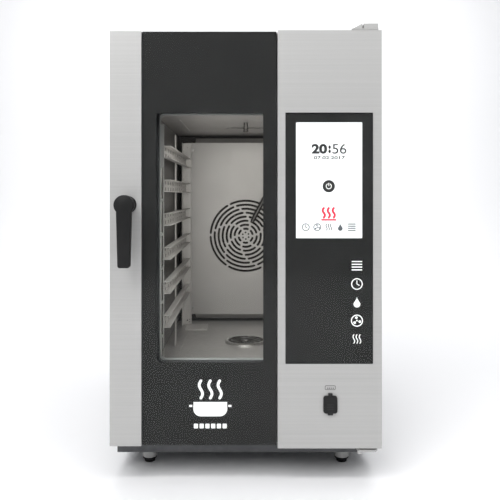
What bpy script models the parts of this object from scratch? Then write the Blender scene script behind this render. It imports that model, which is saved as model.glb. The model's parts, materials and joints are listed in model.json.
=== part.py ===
"""Slim combi steamer oven, 6 shelves, with a full-width door that carries the control panel.

Units are metres and +Z is up. The front faces -Y. The origin is the centre of the footprint,
on the floor.
Depths are measured backwards from the plane of the door's front face; y_at() turns a depth into a Y.
"""

from math import cos, pi, radians, sin

import bmesh
import bpy
from mathutils import Matrix, Vector

# Overall sizes.
WIDTH = 0.519
HALF = WIDTH / 2
HANDLE_REACH = 0.047
REAR_REACH = 0.803
FRONT_Y = (HANDLE_REACH - REAR_REACH) / 2
TOTAL_TOP = 0.883

# Sheet metal and clearances.
SHEET = 0.0015
GAP = 0.0003
GLASS = 0.004

# Cabinet.
BASE_LOW = 0.036
BASE_HIGH = 0.062
PANEL_HIGH = 0.8495
LID_LOW = 0.850
LID_HIGH = 0.868
FRAME_FRONT = 0.066
PANEL_FRONT = 0.068
REAR = 0.785

# Cavity and its mouth.
CAVITY_HALF = 0.197
CAVITY_FLOOR = 0.186
CAVITY_CEILING = 0.727
CAVITY_REAR = 0.693
MOUTH_HALF = 0.1712
MOUTH_LOW = 0.2265
MOUTH_HIGH = 0.714
SEAL_RADIUS = 0.0037
SEAL_HALF = 0.176
SEAL_LOW = 0.220
SEAL_HIGH = 0.7205

# Door.
DOOR_BACK = 0.058
STILE_RIGHT = -0.199
STILE_LOW = 0.075
STILE_HIGH = 0.867
GLASS_LEFT = -0.198
GLASS_RIGHT = 0.059
GLASS_LOW = 0.077
GLASS_HIGH = 0.866
HOUSING_LEFT = 0.061
HOUSING_LOW = 0.071
HOUSING_HIGH = 0.8685
HINGE_X = 0.237
HINGE_DEPTH = 0.023

# Handle.
HANDLE_X = -0.2245
HANDLE_Z = 0.5355
HANDLE_HEAD = 0.0185
HANDLE_LENGTH = 0.116
HANDLE_THICK = 0.018
CAM_REACH = 0.0108
CAM_NOSE = 0.0025
CAM_HUB = 0.0075
CAM_FRONT = 0.0690
CAM_THICK = 0.005
SPINDLE_RADIUS = 0.0048
SPINDLE_BORE = 0.0052
SPINDLE_HOLE = 0.0055
SPINDLE_REAR = 0.0755
ROSE_OUTER = 0.0165
ROSE_INNER = 0.0075
BOSS_RADIUS = 0.0125

# Circulation fan, wash rotor, drain and feet.
FAN_Z = 0.435
BAFFLE_DEPTH = 0.632
BAFFLE_HALF = 0.176
BAFFLE_LOW = 0.2076
BAFFLE_HIGH = 0.7047
WASH_DEPTH = 0.313
DRAIN_DEPTH = 0.374
FOOT_X = 0.200
FOOT_DEPTHS = {"front": 0.115, "rear": 0.700}
SHELF_COUNT = 6
SHELF_FIRST = 0.2915
SHELF_PITCH = 0.0704

# Exhaust, drain, water and cable fittings, and the louvres: rows as (x, z).
EXHAUST_X = -0.120
EXHAUST_DEPTH = 0.665
DRAIN_PIPE_Z = 0.105
VALVE = (-0.150, 0.115)
GLAND = (0.170, 0.115)
LOUVRE_COLUMNS = (-0.160, 0.140)
LOUVRE_ROWS = 9

# Strike cup behind the front frame.
CUP_OUTER = 0.0205
CUP_INNER = 0.0190
CUP_REAR = 0.0830
CUP_FLANGE = 0.0245

# Mineral wool jacket.
WOOL = 0.030
WOOL_FRONT = 0.090
WOOL_REAR = 0.715

# Ring grille of the air guide.
GRILLE_RINGS = 8
GRILLE_INNER = 0.0205
GRILLE_OUTER = 0.1020
GRILLE_SLOT = 0.0062
GRILLE_BRIDGE = 0.0050
GRILLE_FIRST = 178.3
GRILLE_STAGGER = 8.6

# Heating element.
HEATER_RADIUS = 0.118
HEATER_WIRE = 0.004
HEATER_FRONT = 0.652
HEATER_PITCH = 0.0095
HEATER_TURNS = 3
HEATER_STEPS = 28
HEATER_LEG_ANGLES = (-104, -76)
HEATER_LEG_RADII = {-104: HEATER_RADIUS + 0.011, -76: HEATER_RADIUS}
HEATER_LEG_REAR = 0.722

# Fan motor and its shaft.
MOTOR_PLATE_DEPTH = 0.7163
SHAFT_RADIUS = 0.006
SHAFT_FRONT = 0.646
SHAFT_REAR = 0.750
SHAFT_CAP = 0.011
MOTOR_RADIUS = 0.045
MOTOR_REAR = 0.779
MOTOR_PLATE_HALF = 0.070
MOTOR_PLATE_THICK = 0.003

# Fan wheel.
IMPELLER_RADIUS = 0.095
IMPELLER_BLADES = 9
IMPELLER_FRONT = 0.650
IMPELLER_REAR = 0.6865
IMPELLER_HUB = 0.018
BLADE_FRONT = 0.648
BLADE_INNER = 0.040
BLADE_HALF = 0.00075

# Humidifier tube.
HUMIDIFIER_DEPTH = 0.590
HUMIDIFIER_END = (0.0175, HUMIDIFIER_DEPTH, 0.477)
HUMIDIFIER_TOP = (0.149, HUMIDIFIER_DEPTH, CAVITY_CEILING)

# Wash rotor and its stem.
STEM_RADIUS = 0.005
STEM_LOW = 0.7168
STEM_HIGH = 0.770
ROTOR_HIGH = 0.7163
ROTOR_LOW = 0.7045
ROTOR_ARM = 0.046

# Drain cover, condensate box and the pipes that leave the oven.
DRAIN_COVER_RADIUS = 0.051
CONDENSATE_LOW = (-0.055, 0.320, 0.078)
CONDENSATE_HIGH = (0.055, 0.430, 0.140)
CONDENSATE_WALL = 0.003
OUTLET_RADIUS = 0.0150
OUTLET_BORE = 0.0130
EXHAUST_OUTER = 0.0165
EXHAUST_BORE = 0.0150

# Cooling fan: x and z of its axis.
COOLING_FAN = (-0.160, 0.600)

# Door hinges.
PIN_RADIUS = 0.005
BRACKET_LEFT = 0.214
BRACKET_RIGHT = 0.254
BRACKET_FRONT = 0.004

# Levelling feet.
FOOT_FLANGE = 0.0145
FOOT_RADIUS = 0.0110
FOOT_SHOULDER = 0.030
SOLE_HIGH = 0.0095
STUD_RADIUS = 0.004
STUD_HIGH = 0.052
SLEEVE_OUTER = 0.0145
SLEEVE_INNER = 0.0118

# Side racks.
RACK_FRONT = 0.105
RACK_REAR = 0.588
RACK_WEB = 0.1690
RACK_TIP = 0.1560
RACK_BACK = 0.1785
RACK_LOW = CAVITY_FLOOR + 0.0006
RACK_HIGH = 0.700
SLIDE_HALF = 0.013

# Door pan, glazing and control panel.
GLASS_FRONT = 0.0008
PANEL_GLASS_FRONT = 0.0004
PANEL_GLASS = 0.003
PIN_HOLE = 0.0055
PAN_FRONT = 0.0055
PAN_REAR = 0.053
PAN_HALF = HALF - SHEET - GAP
WINDOW_LEFT = -0.182
WINDOW_RIGHT = 0.040
WINDOW_LOW = 0.216
WINDOW_HIGH = 0.722
INNER_HALF = 0.190
INNER_LOW = 0.204
INNER_HIGH = 0.736
PANEL_LEFT = 0.0759
PANEL_RIGHT = 0.2428
PANEL_LOW = 0.2320
PANEL_TOP = 0.7110
SCREEN_LEFT = 0.0959
SCREEN_RIGHT = 0.2228
SCREEN_LOW = 0.4715
SCREEN_HIGH = 0.6930
USB_X = 0.1612
USB_LOW = 0.1385
USB_HIGH = 0.1717
USB_HALF = 0.01325

# Axis of the data socket's cover.
USB_HINGE_DEPTH = -0.0025
USB_HINGE_Z = 0.1752

for old in list(bpy.data.objects):
    bpy.data.objects.remove(old, do_unlink=True)

PARTS = bpy.data.collections.new("combi_steamer_oven")
CUTTERS = bpy.data.collections.new("cutters")
bpy.context.scene.collection.children.link(PARTS)
bpy.context.scene.collection.children.link(CUTTERS)


def y_at(depth):
    return FRONT_Y + depth


# ---------------------------------------------------------------- materials

LOOKS = {
    "brushed_steel": ((0.56, 0.55, 0.54), 0.32, 1.0),
    "cavity_steel": ((0.50, 0.48, 0.46), 0.25, 1.0),
    "galvanised": ((0.45, 0.46, 0.47), 0.45, 1.0),
    "polished_steel": ((0.62, 0.61, 0.60), 0.12, 1.0),
    "black_plastic": ((0.022, 0.022, 0.021), 0.5, 0.0),
    "black_glass": ((0.03, 0.03, 0.03), 0.08, 0.0),
    "clear_glass": ((0.75, 0.78, 0.77), 0.03, 0.0),
    "silicone": ((0.02, 0.02, 0.02), 0.6, 0.0),
    "mineral_wool": ((0.52, 0.44, 0.25), 0.95, 0.0),
    "circuit_board": ((0.03, 0.16, 0.07), 0.5, 0.0),
    "display": ((0.85, 0.86, 0.86), 0.3, 0.0),
    "cast_aluminium": ((0.42, 0.43, 0.44), 0.4, 1.0),
    "grey_plastic": ((0.25, 0.26, 0.27), 0.5, 0.0),
}


def material(look):
    found = bpy.data.materials.get(look)
    if found:
        return found
    colour, roughness, metallic = LOOKS[look]
    made = bpy.data.materials.new(look)
    made.use_nodes = True
    shader = made.node_tree.nodes["Principled BSDF"]
    shader.inputs["Base Color"].default_value = (*colour, 1.0)
    shader.inputs["Roughness"].default_value = roughness
    shader.inputs["Metallic"].default_value = metallic
    return made


# ---------------------------------------------------------------- modelling tools


def place(name, data, look):
    """Links new object data as a part, or as a cutter where look is None."""
    made = bpy.data.objects.new(name, data)
    if look is None:
        CUTTERS.objects.link(made)
        made.hide_render = True
        made.display_type = "WIRE"
    else:
        PARTS.objects.link(made)
        data.materials.append(material(look))
    return made


def box(name, low, high, look, bevel=0.0, segments=1):
    """A block between two corners given as (x, depth, z), its edges rounded where bevel is set."""
    low = Vector((low[0], y_at(low[1]), low[2]))
    high = Vector((high[0], y_at(high[1]), high[2]))
    size = high - low
    shape = bmesh.new()
    bmesh.ops.create_cube(shape, size=1.0, matrix=Matrix.Diagonal((*size, 1.0)))
    mesh = bpy.data.meshes.new(name)
    shape.to_mesh(mesh)
    shape.free()
    made = place(name, mesh, look)
    made.location = (low + high) / 2
    if bevel:
        add_bevel(made, bevel, segments)
    return made


def add_bevel(obj, width, segments=1):
    rounding = obj.modifiers.new("rounded_edges", "BEVEL")
    rounding.width = width
    rounding.segments = segments
    rounding.limit_method = "ANGLE"
    rounding.angle_limit = radians(40)


def open_box(name, low, high, open_side, thick, look):
    """A folded sheet tray: a block without one side, with walls that grow inwards."""
    made = box(name, low, high, look)
    side = Vector(open_side)
    shape = bmesh.new()
    shape.from_mesh(made.data)
    shape.normal_update()
    lids = [face for face in shape.faces if face.normal.dot(side) > 0.9]
    bmesh.ops.delete(shape, geom=lids, context="FACES")
    shape.to_mesh(made.data)
    shape.free()
    wall = made.modifiers.new("sheet", "SOLIDIFY")
    wall.thickness = thick
    wall.offset = -1.0
    wall.use_even_offset = True
    return made


TURNS = {"X": (pi / 2, 0.0, pi / 2), "Y": (pi / 2, 0.0, 0.0), "Z": (0.0, 0.0, 0.0)}


def plate(name, loops, facing, span, look):
    """A flat outline with holes, extruded.

    facing X reads points as (depth, z), Y as (x, z) and Z as (x, depth).

    span holds the plate's two faces along the facing axis: x for X, depth for Y, z for Z.
    """
    curve = bpy.data.curves.new(name, "CURVE")
    curve.dimensions = "2D"
    curve.fill_mode = "BOTH"
    curve.extrude = (span[1] - span[0]) / 2
    shift = {"X": (FRONT_Y, 0.0), "Y": (0.0, 0.0), "Z": (0.0, FRONT_Y)}[facing]
    for loop in loops:
        spline = curve.splines.new("POLY")
        spline.points.add(len(loop) - 1)
        for point, (across, up) in zip(spline.points, loop):
            point.co = (across + shift[0], up + shift[1], 0.0, 1.0)
        spline.use_cyclic_u = True
    made = place(name, curve, look)
    middle = (span[0] + span[1]) / 2
    made.rotation_euler = TURNS[facing]
    made.location = {"X": (middle, 0, 0), "Y": (0, y_at(middle), 0), "Z": (0, 0, middle)}[facing]
    return to_mesh(made)


def to_mesh(obj):
    """Replaces a curve object by its welded mesh, so that it can be cut, joined or bevelled."""
    bpy.context.view_layer.update()
    graph = bpy.context.evaluated_depsgraph_get()
    mesh = bpy.data.meshes.new_from_object(obj.evaluated_get(graph))
    shape = bmesh.new()
    shape.from_mesh(mesh)
    bmesh.ops.remove_doubles(shape, verts=shape.verts, dist=1e-6)
    bmesh.ops.recalc_face_normals(shape, faces=shape.faces)
    shape.to_mesh(mesh)
    shape.free()
    name = obj.name
    matrix = obj.matrix_world.copy()
    home = obj.users_collection[0]
    hidden = obj.hide_render
    old = obj.data
    bpy.data.objects.remove(obj, do_unlink=True)
    bpy.data.curves.remove(old)
    made = bpy.data.objects.new(name, mesh)
    home.objects.link(made)
    made.matrix_world = matrix
    made.hide_render = hidden
    made.display_type = "WIRE" if hidden else "TEXTURED"
    return made


def turned(name, profile, centre, axis, look, steps=24):
    """A body turned from (radius, height) points about an axis through centre, an (x, depth, z) point.

    The points run down the outer side from top to bottom. Heights go along +X, +Y or +Z,
    as axis says.
    """
    mesh = bpy.data.meshes.new(name)
    points = [(radius, 0.0, height) for radius, height in profile]
    edges = [(i, i + 1) for i in range(len(points) - 1)]
    if profile[0][0] > 0:
        edges.append((len(points) - 1, 0))
    mesh.from_pydata(points, edges, [])
    made = place(name, mesh, look)
    made.location = (centre[0], y_at(centre[1]), centre[2])
    made.rotation_euler = {"X": (0, pi / 2, 0), "Y": (-pi / 2, 0, 0), "Z": (0, 0, 0)}[axis]
    screw = made.modifiers.new("turned", "SCREW")
    screw.steps = steps
    screw.render_steps = steps
    screw.use_merge_vertices = True
    screw.merge_threshold = 1e-5
    screw.use_smooth_shade = True
    return made


def rod(name, centre, axis, radius, low, high, look, steps=24):
    """A plain cylinder whose ends lie at low and high along the axis, measured from centre."""
    profile = [(0.0, high), (radius, high), (radius, low), (0.0, low)]
    return turned(name, profile, centre, axis, look, steps)


def ring(name, centre, axis, outer, inner, low, high, look, steps=24):
    """A plain tube or washer about an axis."""
    profile = [(inner, high), (outer, high), (outer, low), (inner, low)]
    return turned(name, profile, centre, axis, look, steps)


def pipe(name, points, radius, look, closed=False, detail=2):
    """A round tube or wire along (x, depth, z) points."""
    curve = bpy.data.curves.new(name, "CURVE")
    curve.dimensions = "3D"
    curve.bevel_depth = radius
    curve.bevel_resolution = detail
    curve.use_fill_caps = not closed
    spline = curve.splines.new("POLY")
    spline.points.add(len(points) - 1)
    for point, (x, depth, z) in zip(spline.points, points):
        point.co = (x, y_at(depth), z, 1.0)
    spline.use_cyclic_u = closed
    spline.use_smooth = True
    return to_mesh(place(name, curve, look))


def boolean(target, other, operation):
    step = target.modifiers.new(operation.lower(), "BOOLEAN")
    step.operation = operation
    step.solver = "EXACT"
    step.object = other


def cut(target, *tools):
    for tool in tools:
        boolean(target, tool, "DIFFERENCE")


def join(target, *tools):
    for tool in tools:
        boolean(target, tool, "UNION")


# ---------------------------------------------------------------- outlines


def arc(centre, radius, start, end, steps):
    """Points of a circular arc; angles in degrees."""
    turn = radians(end - start) / steps
    first = radians(start)
    return [
        (centre[0] + radius * cos(first + turn * i), centre[1] + radius * sin(first + turn * i))
        for i in range(steps + 1)
    ]


def on_circle(centre, radius, angle):
    return (centre[0] + radius * cos(radians(angle)), centre[1] + radius * sin(radians(angle)))


def circle(centre, radius, steps=24):
    return arc(centre, radius, 0, 360, steps)[:-1]


def rectangle(left, low, right, high):
    return [(left, low), (right, low), (right, high), (left, high)]


def rounded(left, low, right, high, radius, steps=3):
    """A rectangle with round corners."""
    corners = [
        ((left + radius, low + radius), 180),
        ((right - radius, low + radius), 270),
        ((right - radius, high - radius), 0),
        ((left + radius, high - radius), 90),
    ]
    points = []
    for centre, start in corners:
        points += arc(centre, radius, start, start + 90, steps)
    return points


def ring_slot(centre, radius, width, start, end, steps):
    """A slot that follows a circle, with square ends."""
    outer = arc(centre, radius + width / 2, start, end, steps)
    inner = arc(centre, radius - width / 2, end, start, steps)
    return outer + inner


# ---------------------------------------------------------------- cabinet


def make_base_pan():
    """The folded tray under the cabinet, with a clearance hole over each levelling foot."""
    pan = open_box(
        "base_pan", (-HALF + 0.001, PANEL_FRONT, BASE_LOW), (HALF - 0.001, REAR, BASE_HIGH),
        (0, 0, 1), SHEET,
        "galvanised",
    )
    for name, x, depth in feet():
        cut(pan, rod(f"stud_hole_{name}", (x, depth, BASE_LOW), "Z", 0.006, -0.01, 0.01, None, 12))


def make_side_panel(name, side):
    """A flat side with folded edges at front and rear."""
    outer = side * HALF
    inner = side * (HALF - SHEET)
    tip = side * (HALF - 0.014)
    back = REAR - SHEET - GAP
    fold = [
        (outer, PANEL_FRONT), (outer, back), (tip, back), (tip, back - SHEET),
        (inner, back - SHEET), (inner, PANEL_FRONT + SHEET), (tip, PANEL_FRONT + SHEET),
        (tip, PANEL_FRONT),
    ]
    plate(name, [fold], "Z", (BASE_HIGH + GAP, PANEL_HIGH), "brushed_steel")


def make_top_panel():
    lid = open_box(
        "top_panel", (-HALF, PANEL_FRONT, LID_LOW), (HALF, REAR, LID_HIGH), (0, 0, -1), SHEET,
        "brushed_steel"
    )
    cut(
        lid,
        rod(
            "exhaust_lid_hole", (EXHAUST_X, EXHAUST_DEPTH, LID_HIGH), "Z", 0.0175, -0.01, 0.01,
            None,
        ),
    )


def make_rear_panel():
    """The rear cover: two fields of cooling slots, and holes for drain, water inlet and gland."""
    loops = [rectangle(-HALF, BASE_HIGH + GAP, HALF, PANEL_HIGH)]
    for centre in LOUVRE_COLUMNS:
        for row in range(LOUVRE_ROWS):
            low = 0.52 + row * 0.018
            loops.append(rounded(centre - 0.045, low, centre + 0.045, low + 0.006, 0.0025, 2))
    loops.append(circle((0.0, DRAIN_PIPE_Z), 0.0165))
    loops.append(circle(VALVE, 0.013))
    loops.append(circle(GLAND, 0.013))
    plate("rear_panel", loops, "Y", (REAR - SHEET, REAR), "brushed_steel")


def make_front_frame():
    """The plate round the cavity mouth, with a hole for the strike cup."""
    loops = [
        rectangle(-HALF, BASE_HIGH + GAP, HALF, LID_HIGH),
        rounded(-MOUTH_HALF, MOUTH_LOW, MOUTH_HALF, MOUTH_HIGH, 0.012),
        circle((HANDLE_X, HANDLE_Z), CUP_OUTER + GAP),
    ]
    plate("front_frame", loops, "Y", (FRAME_FRONT, FRAME_FRONT + SHEET), "brushed_steel")


def make_strike_cup():
    """A flanged cup in the front frame that the latch cam turns in."""
    front = FRAME_FRONT - 0.0018
    profile = [
        (0.0, CUP_REAR), (CUP_OUTER, CUP_REAR), (CUP_OUTER, FRAME_FRONT - GAP),
        (CUP_FLANGE, FRAME_FRONT - GAP),
        (CUP_FLANGE, front), (CUP_INNER, front), (CUP_INNER, CUP_REAR - SHEET), (0.0, CUP_REAR - SHEET),
    ]
    turned("strike_cup", profile, (HANDLE_X, 0.0, HANDLE_Z), "Y", "polished_steel")


def make_cavity_liner():
    """The cavity: a deep stainless box, open at the front, with ribs pressed into floor and ceiling."""
    outer = CAVITY_HALF + SHEET
    low = CAVITY_FLOOR - SHEET
    high = CAVITY_CEILING + SHEET
    liner = open_box(
        "cavity_liner", (-outer, PANEL_FRONT, low), (outer, CAVITY_REAR + SHEET, high), (0, -1, 0),
        SHEET,
        "cavity_steel",
    )
    for side in (-1, 1):
        for level, x, start, end in (
            (CAVITY_FLOOR, 0.157, 0.289, 0.505), (CAVITY_CEILING, 0.153, 0.252, 0.495),
        ):
            rib = box(
                f"rib_{side}_{level}", (side * x - 0.0022, start, level - 0.001),
                (side * x + 0.0022, end, level + 0.001), None,
            )
            join(liner, rib)
    cut(
        liner,
        rod("drain_hole", (0, DRAIN_DEPTH, CAVITY_FLOOR), "Z", 0.020, -0.01, 0.01, None),
        rod(
            "exhaust_hole", (EXHAUST_X, EXHAUST_DEPTH, CAVITY_CEILING), "Z", 0.015, -0.01, 0.01,
            None,
        ),
        rod("shaft_hole", (0, CAVITY_REAR, FAN_Z), "Y", 0.014, -0.01, 0.01, None),
        rod("wash_hole", (0, WASH_DEPTH, CAVITY_CEILING), "Z", 0.0058, -0.01, 0.01, None, 12),
        rod(
            "humidifier_hole", (HUMIDIFIER_TOP[0], HUMIDIFIER_TOP[1], CAVITY_CEILING), "Z", 0.011,
            -0.01, 0.01, None, 12,
        ),
    )
    for angle in HEATER_LEG_ANGLES:
        cut(
            liner,
            rod(
                f"heater_hole_{angle}", heater_leg(angle, CAVITY_REAR), "Y", 0.0055, -0.01, 0.01,
                None, 12,
            ),
        )


def make_insulation():
    """The mineral-wool jacket round the liner, open at the front."""
    inner_half = CAVITY_HALF + SHEET + GAP
    floor = CAVITY_FLOOR - SHEET - GAP
    roof = CAVITY_CEILING + SHEET + GAP
    jacket = box(
        "insulation", (-inner_half - WOOL, WOOL_FRONT, floor - WOOL),
        (inner_half + WOOL, WOOL_REAR, roof + WOOL),
        "mineral_wool",
    )
    cut(
        jacket,
        box(
            "jacket_hollow", (-inner_half, 0.0, floor),
            (inner_half, CAVITY_REAR + SHEET + GAP, roof), None,
        ),
        rod("jacket_drain", (0, DRAIN_DEPTH, floor), "Z", 0.023, -0.05, 0.01, None),
        rod("jacket_exhaust", (EXHAUST_X, EXHAUST_DEPTH, roof), "Z", 0.0175, -0.01, 0.05, None),
        rod("jacket_shaft", (0, WOOL_REAR, FAN_Z), "Y", 0.020, -0.03, 0.01, None),
        rod("jacket_wash", (0, WASH_DEPTH, roof), "Z", 0.008, -0.01, 0.05, None, 12),
        rod(
            "jacket_humidifier", (HUMIDIFIER_TOP[0] + 0.008, HUMIDIFIER_TOP[1], roof), "Z", 0.020,
            -0.01, 0.05, None,
        ),
    )
    for angle in HEATER_LEG_ANGLES:
        cut(
            jacket,
            rod(
                f"jacket_heater_{angle}", heater_leg(angle, WOOL_REAR), "Y", 0.0065, -0.03, 0.01,
                None, 12,
            ),
        )


def make_door_seal():
    """The silicone ring in front of the frame, which the inner glass closes on."""
    depth = DOOR_BACK + SEAL_RADIUS
    outline = rounded(-SEAL_HALF, SEAL_LOW, SEAL_HALF, SEAL_HIGH, 0.012, 3)
    pipe("door_seal", [(x, depth, z) for x, z in outline], SEAL_RADIUS, "silicone", closed=True)


def make_fan_baffle():
    """The air guide before the fan: a ring grille, two sloped edges and four studs to the rear wall."""
    half_fold = BAFFLE_HALF - 0.030
    loops = [rectangle(-BAFFLE_HALF, BAFFLE_LOW, BAFFLE_HALF, BAFFLE_HIGH)]
    for number in range(GRILLE_RINGS):
        radius = GRILLE_INNER + number * (GRILLE_OUTER - GRILLE_INNER) / (GRILLE_RINGS - 1)
        bridge = degrees_of(GRILLE_BRIDGE / radius)
        steps = 3 if number < 4 else 4
        for slot in range(6):
            start = GRILLE_FIRST + number * GRILLE_STAGGER + slot * 60 + bridge / 2
            loops.append(
                ring_slot((0.0, FAN_Z), radius, GRILLE_SLOT, start, start + 60 - bridge, steps),
            )
    for hole in range(6):
        loops.append(circle(on_circle((0.0, FAN_Z), 0.0095, 33 + 60 * hole), 0.0026, 7))
    face = plate("fan_baffle", loops, "Y", (BAFFLE_DEPTH, BAFFLE_DEPTH + SHEET), "cavity_steel")
    for edge, away in ((BAFFLE_HIGH, 1), (BAFFLE_LOW, -1)):
        reach = 0.0142
        slope = [
            (BAFFLE_DEPTH + 0.0002, edge - away * 0.0012),
            (BAFFLE_DEPTH + reach, edge + away * reach),
            (BAFFLE_DEPTH + reach + 0.0011, edge + away * (reach - 0.0011)),
            (BAFFLE_DEPTH + 0.0013, edge - away * 0.0023),
        ]
        join(face, plate(f"baffle_fold_{away}", [slope], "X", (-half_fold, half_fold), None))
    for x in (-0.155, 0.155):
        for z in (BAFFLE_LOW + 0.02, BAFFLE_HIGH - 0.02):
            stud = rod(
                f"baffle_stud_{x}_{z}", (x, BAFFLE_DEPTH, z), "Y", 0.004, 0.001, 0.0605, None, 8,
            )
            join(face, stud)


def degrees_of(angle):
    return angle * 180 / pi


# ---------------------------------------------------------------- heating, air and water


def heater_leg(angle, depth):
    radius = HEATER_LEG_RADII[angle]
    return (radius * cos(radians(angle)), depth, FAN_Z + radius * sin(radians(angle)))


def make_heating_element():
    """A tube heater wound three turns round the fan; its two ends leave through the rear wall."""
    first, last = HEATER_LEG_ANGLES
    points = [heater_leg(first, HEATER_LEG_REAR), heater_leg(first, HEATER_FRONT)]
    lowest = -90
    sweep = 360 * HEATER_TURNS + last - lowest
    for step in range(HEATER_STEPS * HEATER_TURNS + 1):
        share = step / (HEATER_STEPS * HEATER_TURNS)
        angle = radians(lowest + sweep * share)
        depth = HEATER_FRONT + HEATER_PITCH * HEATER_TURNS * share
        points.append((HEATER_RADIUS * cos(angle), depth, FAN_Z + HEATER_RADIUS * sin(angle)))
    points.append(heater_leg(last, HEATER_LEG_REAR))
    pipe("heating_element", points, HEATER_WIRE, "polished_steel", detail=1)


def make_motor():
    """The fan motor behind the cavity, on its square mounting plate."""
    loops = [
        rounded(
            -MOTOR_PLATE_HALF, FAN_Z - MOTOR_PLATE_HALF, MOTOR_PLATE_HALF, FAN_Z + MOTOR_PLATE_HALF,
            0.008, 2,
        ),
        circle((0.0, FAN_Z), 0.012),
    ]
    mount = plate(
        "motor_plate", loops, "Y", (MOTOR_PLATE_DEPTH, MOTOR_PLATE_DEPTH + MOTOR_PLATE_THICK),
        "galvanised",
    )
    for angle in HEATER_LEG_ANGLES:
        x, depth, z = heater_leg(angle, MOTOR_PLATE_DEPTH)
        if z > FAN_Z - 0.078:
            cut(
                mount,
                rod(f"plate_heater_{angle}", (x, depth, z), "Y", 0.0065, -0.01, 0.01, None, 12),
            )
    front = MOTOR_PLATE_DEPTH + MOTOR_PLATE_THICK + GAP
    bore = SHAFT_RADIUS + 0.0005
    profile = [
        (0.0, MOTOR_REAR), (0.030, MOTOR_REAR), (MOTOR_RADIUS, MOTOR_REAR - 0.007),
        (MOTOR_RADIUS, 0.728), (0.034, front), (bore, front),
        (bore, SHAFT_REAR + 0.001), (0.0, SHAFT_REAR + 0.001),
    ]
    turned("fan_motor", profile, (0.0, 0.0, FAN_Z), "Y", "cast_aluminium", 32)


def make_impeller(axis):
    """A radial fan wheel: a back disc, straight blades and a hub on the motor's shaft."""
    bore = SHAFT_RADIUS + 0.0004
    wheel = turned(
        "fan_impeller",
        [
            (bore, IMPELLER_REAR), (IMPELLER_RADIUS, IMPELLER_REAR),
            (IMPELLER_RADIUS, IMPELLER_REAR - SHEET), (IMPELLER_HUB, IMPELLER_REAR - SHEET),
            (IMPELLER_HUB, IMPELLER_FRONT), (bore, IMPELLER_FRONT),
        ],
        (0.0, 0.0, FAN_Z), "Y", "polished_steel", 36,
    )
    for number in range(IMPELLER_BLADES):
        blade = box(
            f"blade_{number}", (BLADE_INNER, BLADE_FRONT, FAN_Z - BLADE_HALF),
            (IMPELLER_RADIUS - 0.002, IMPELLER_REAR - 0.001, FAN_Z + BLADE_HALF), None,
        )
        spin = Matrix.Rotation(2 * pi * number / IMPELLER_BLADES, 4, "Y")
        about = Matrix.Translation((0.0, 0.0, FAN_Z))
        blade.matrix_world = about @ spin @ about.inverted() @ Matrix.Translation(blade.location)
        join(wheel, blade)
    profile = [
        (0.0, SHAFT_REAR), (SHAFT_RADIUS, SHAFT_REAR), (SHAFT_RADIUS, IMPELLER_FRONT - 0.0005),
        (SHAFT_CAP, IMPELLER_FRONT - 0.0008), (SHAFT_CAP, SHAFT_FRONT), (0.0, SHAFT_FRONT),
    ]
    shaft = turned("motor_shaft", profile, (0.0, 0.0, FAN_Z), "Y", "polished_steel", 16)
    ride(axis, wheel, shaft)


def make_humidifier_tube():
    """The water tube that slants down from the ceiling to the fan's eye, with a domed end."""
    start = Vector(HUMIDIFIER_END)
    way = (Vector(HUMIDIFIER_TOP) - start).normalized()
    length = (Vector(HUMIDIFIER_TOP) - start).length + 0.018
    profile = [(0.0, length), (0.006, length), (0.006, 0.004)]
    profile += [(0.006 * cos(radians(a)), 0.004 - 0.004 * sin(radians(a))) for a in (30, 60)]
    profile += [(0.0, 0.0)]
    tube = turned("humidifier_tube", profile, HUMIDIFIER_END, "Z", "polished_steel", 16)
    tube.rotation_euler = way.to_track_quat("Z", "Y").to_euler()


def make_wash_system(axis):
    """The cleaning rotor under the ceiling and the fixed stem that feeds it."""
    rod("wash_stem", (0, WASH_DEPTH, 0), "Z", STEM_RADIUS, STEM_LOW, STEM_HIGH, "polished_steel", 16)
    profile = [
        (0.0, ROTOR_HIGH), (0.0065, ROTOR_HIGH), (0.0065, 0.7125), (0.0090, 0.7105),
        (0.0090, 0.7075), (0.0055, ROTOR_LOW), (0.0, ROTOR_LOW),
    ]
    rotor = turned("wash_rotor", profile, (0, WASH_DEPTH, 0), "Z", "polished_steel", 16)
    arms = box(
        "wash_arms", (-ROTOR_ARM, WASH_DEPTH - 0.003, ROTOR_HIGH - 0.0035),
        (ROTOR_ARM, WASH_DEPTH + 0.003, ROTOR_HIGH - 0.0005), None, 0.0008,
    )
    join(rotor, arms)
    ride(axis, rotor)


def make_drain_cover():
    """A low slotted dome over the drain."""
    low = CAVITY_FLOOR + GAP
    top = low + 0.011
    profile = [
        (0.0, top), (0.012, top), (0.030, top - 0.0025), (0.044, top - 0.0065),
        (DRAIN_COVER_RADIUS, low + 0.002),
        (DRAIN_COVER_RADIUS, low), (0.046, low), (0.040, top - 0.0075), (0.028, top - 0.0045),
        (0.012, top - 0.002),
        (0.0, top - 0.002),
    ]
    cover = turned("drain_cover", profile, (0, DRAIN_DEPTH, 0), "Z", "cavity_steel", 32)
    for number in range(8):
        slot = box(
            f"drain_slot_{number}", (0.016, DRAIN_DEPTH - 0.0035, low + 0.001),
            (0.042, DRAIN_DEPTH + 0.0035, top + 0.004),
            None,
        )
        about = Matrix.Translation((0.0, y_at(DRAIN_DEPTH), 0.0))
        spin = Matrix.Rotation(2 * pi * (number + 0.5) / 8, 4, "Z")
        slot.matrix_world = about @ spin @ about.inverted() @ Matrix.Translation(slot.location)
        cut(cover, slot)


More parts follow.
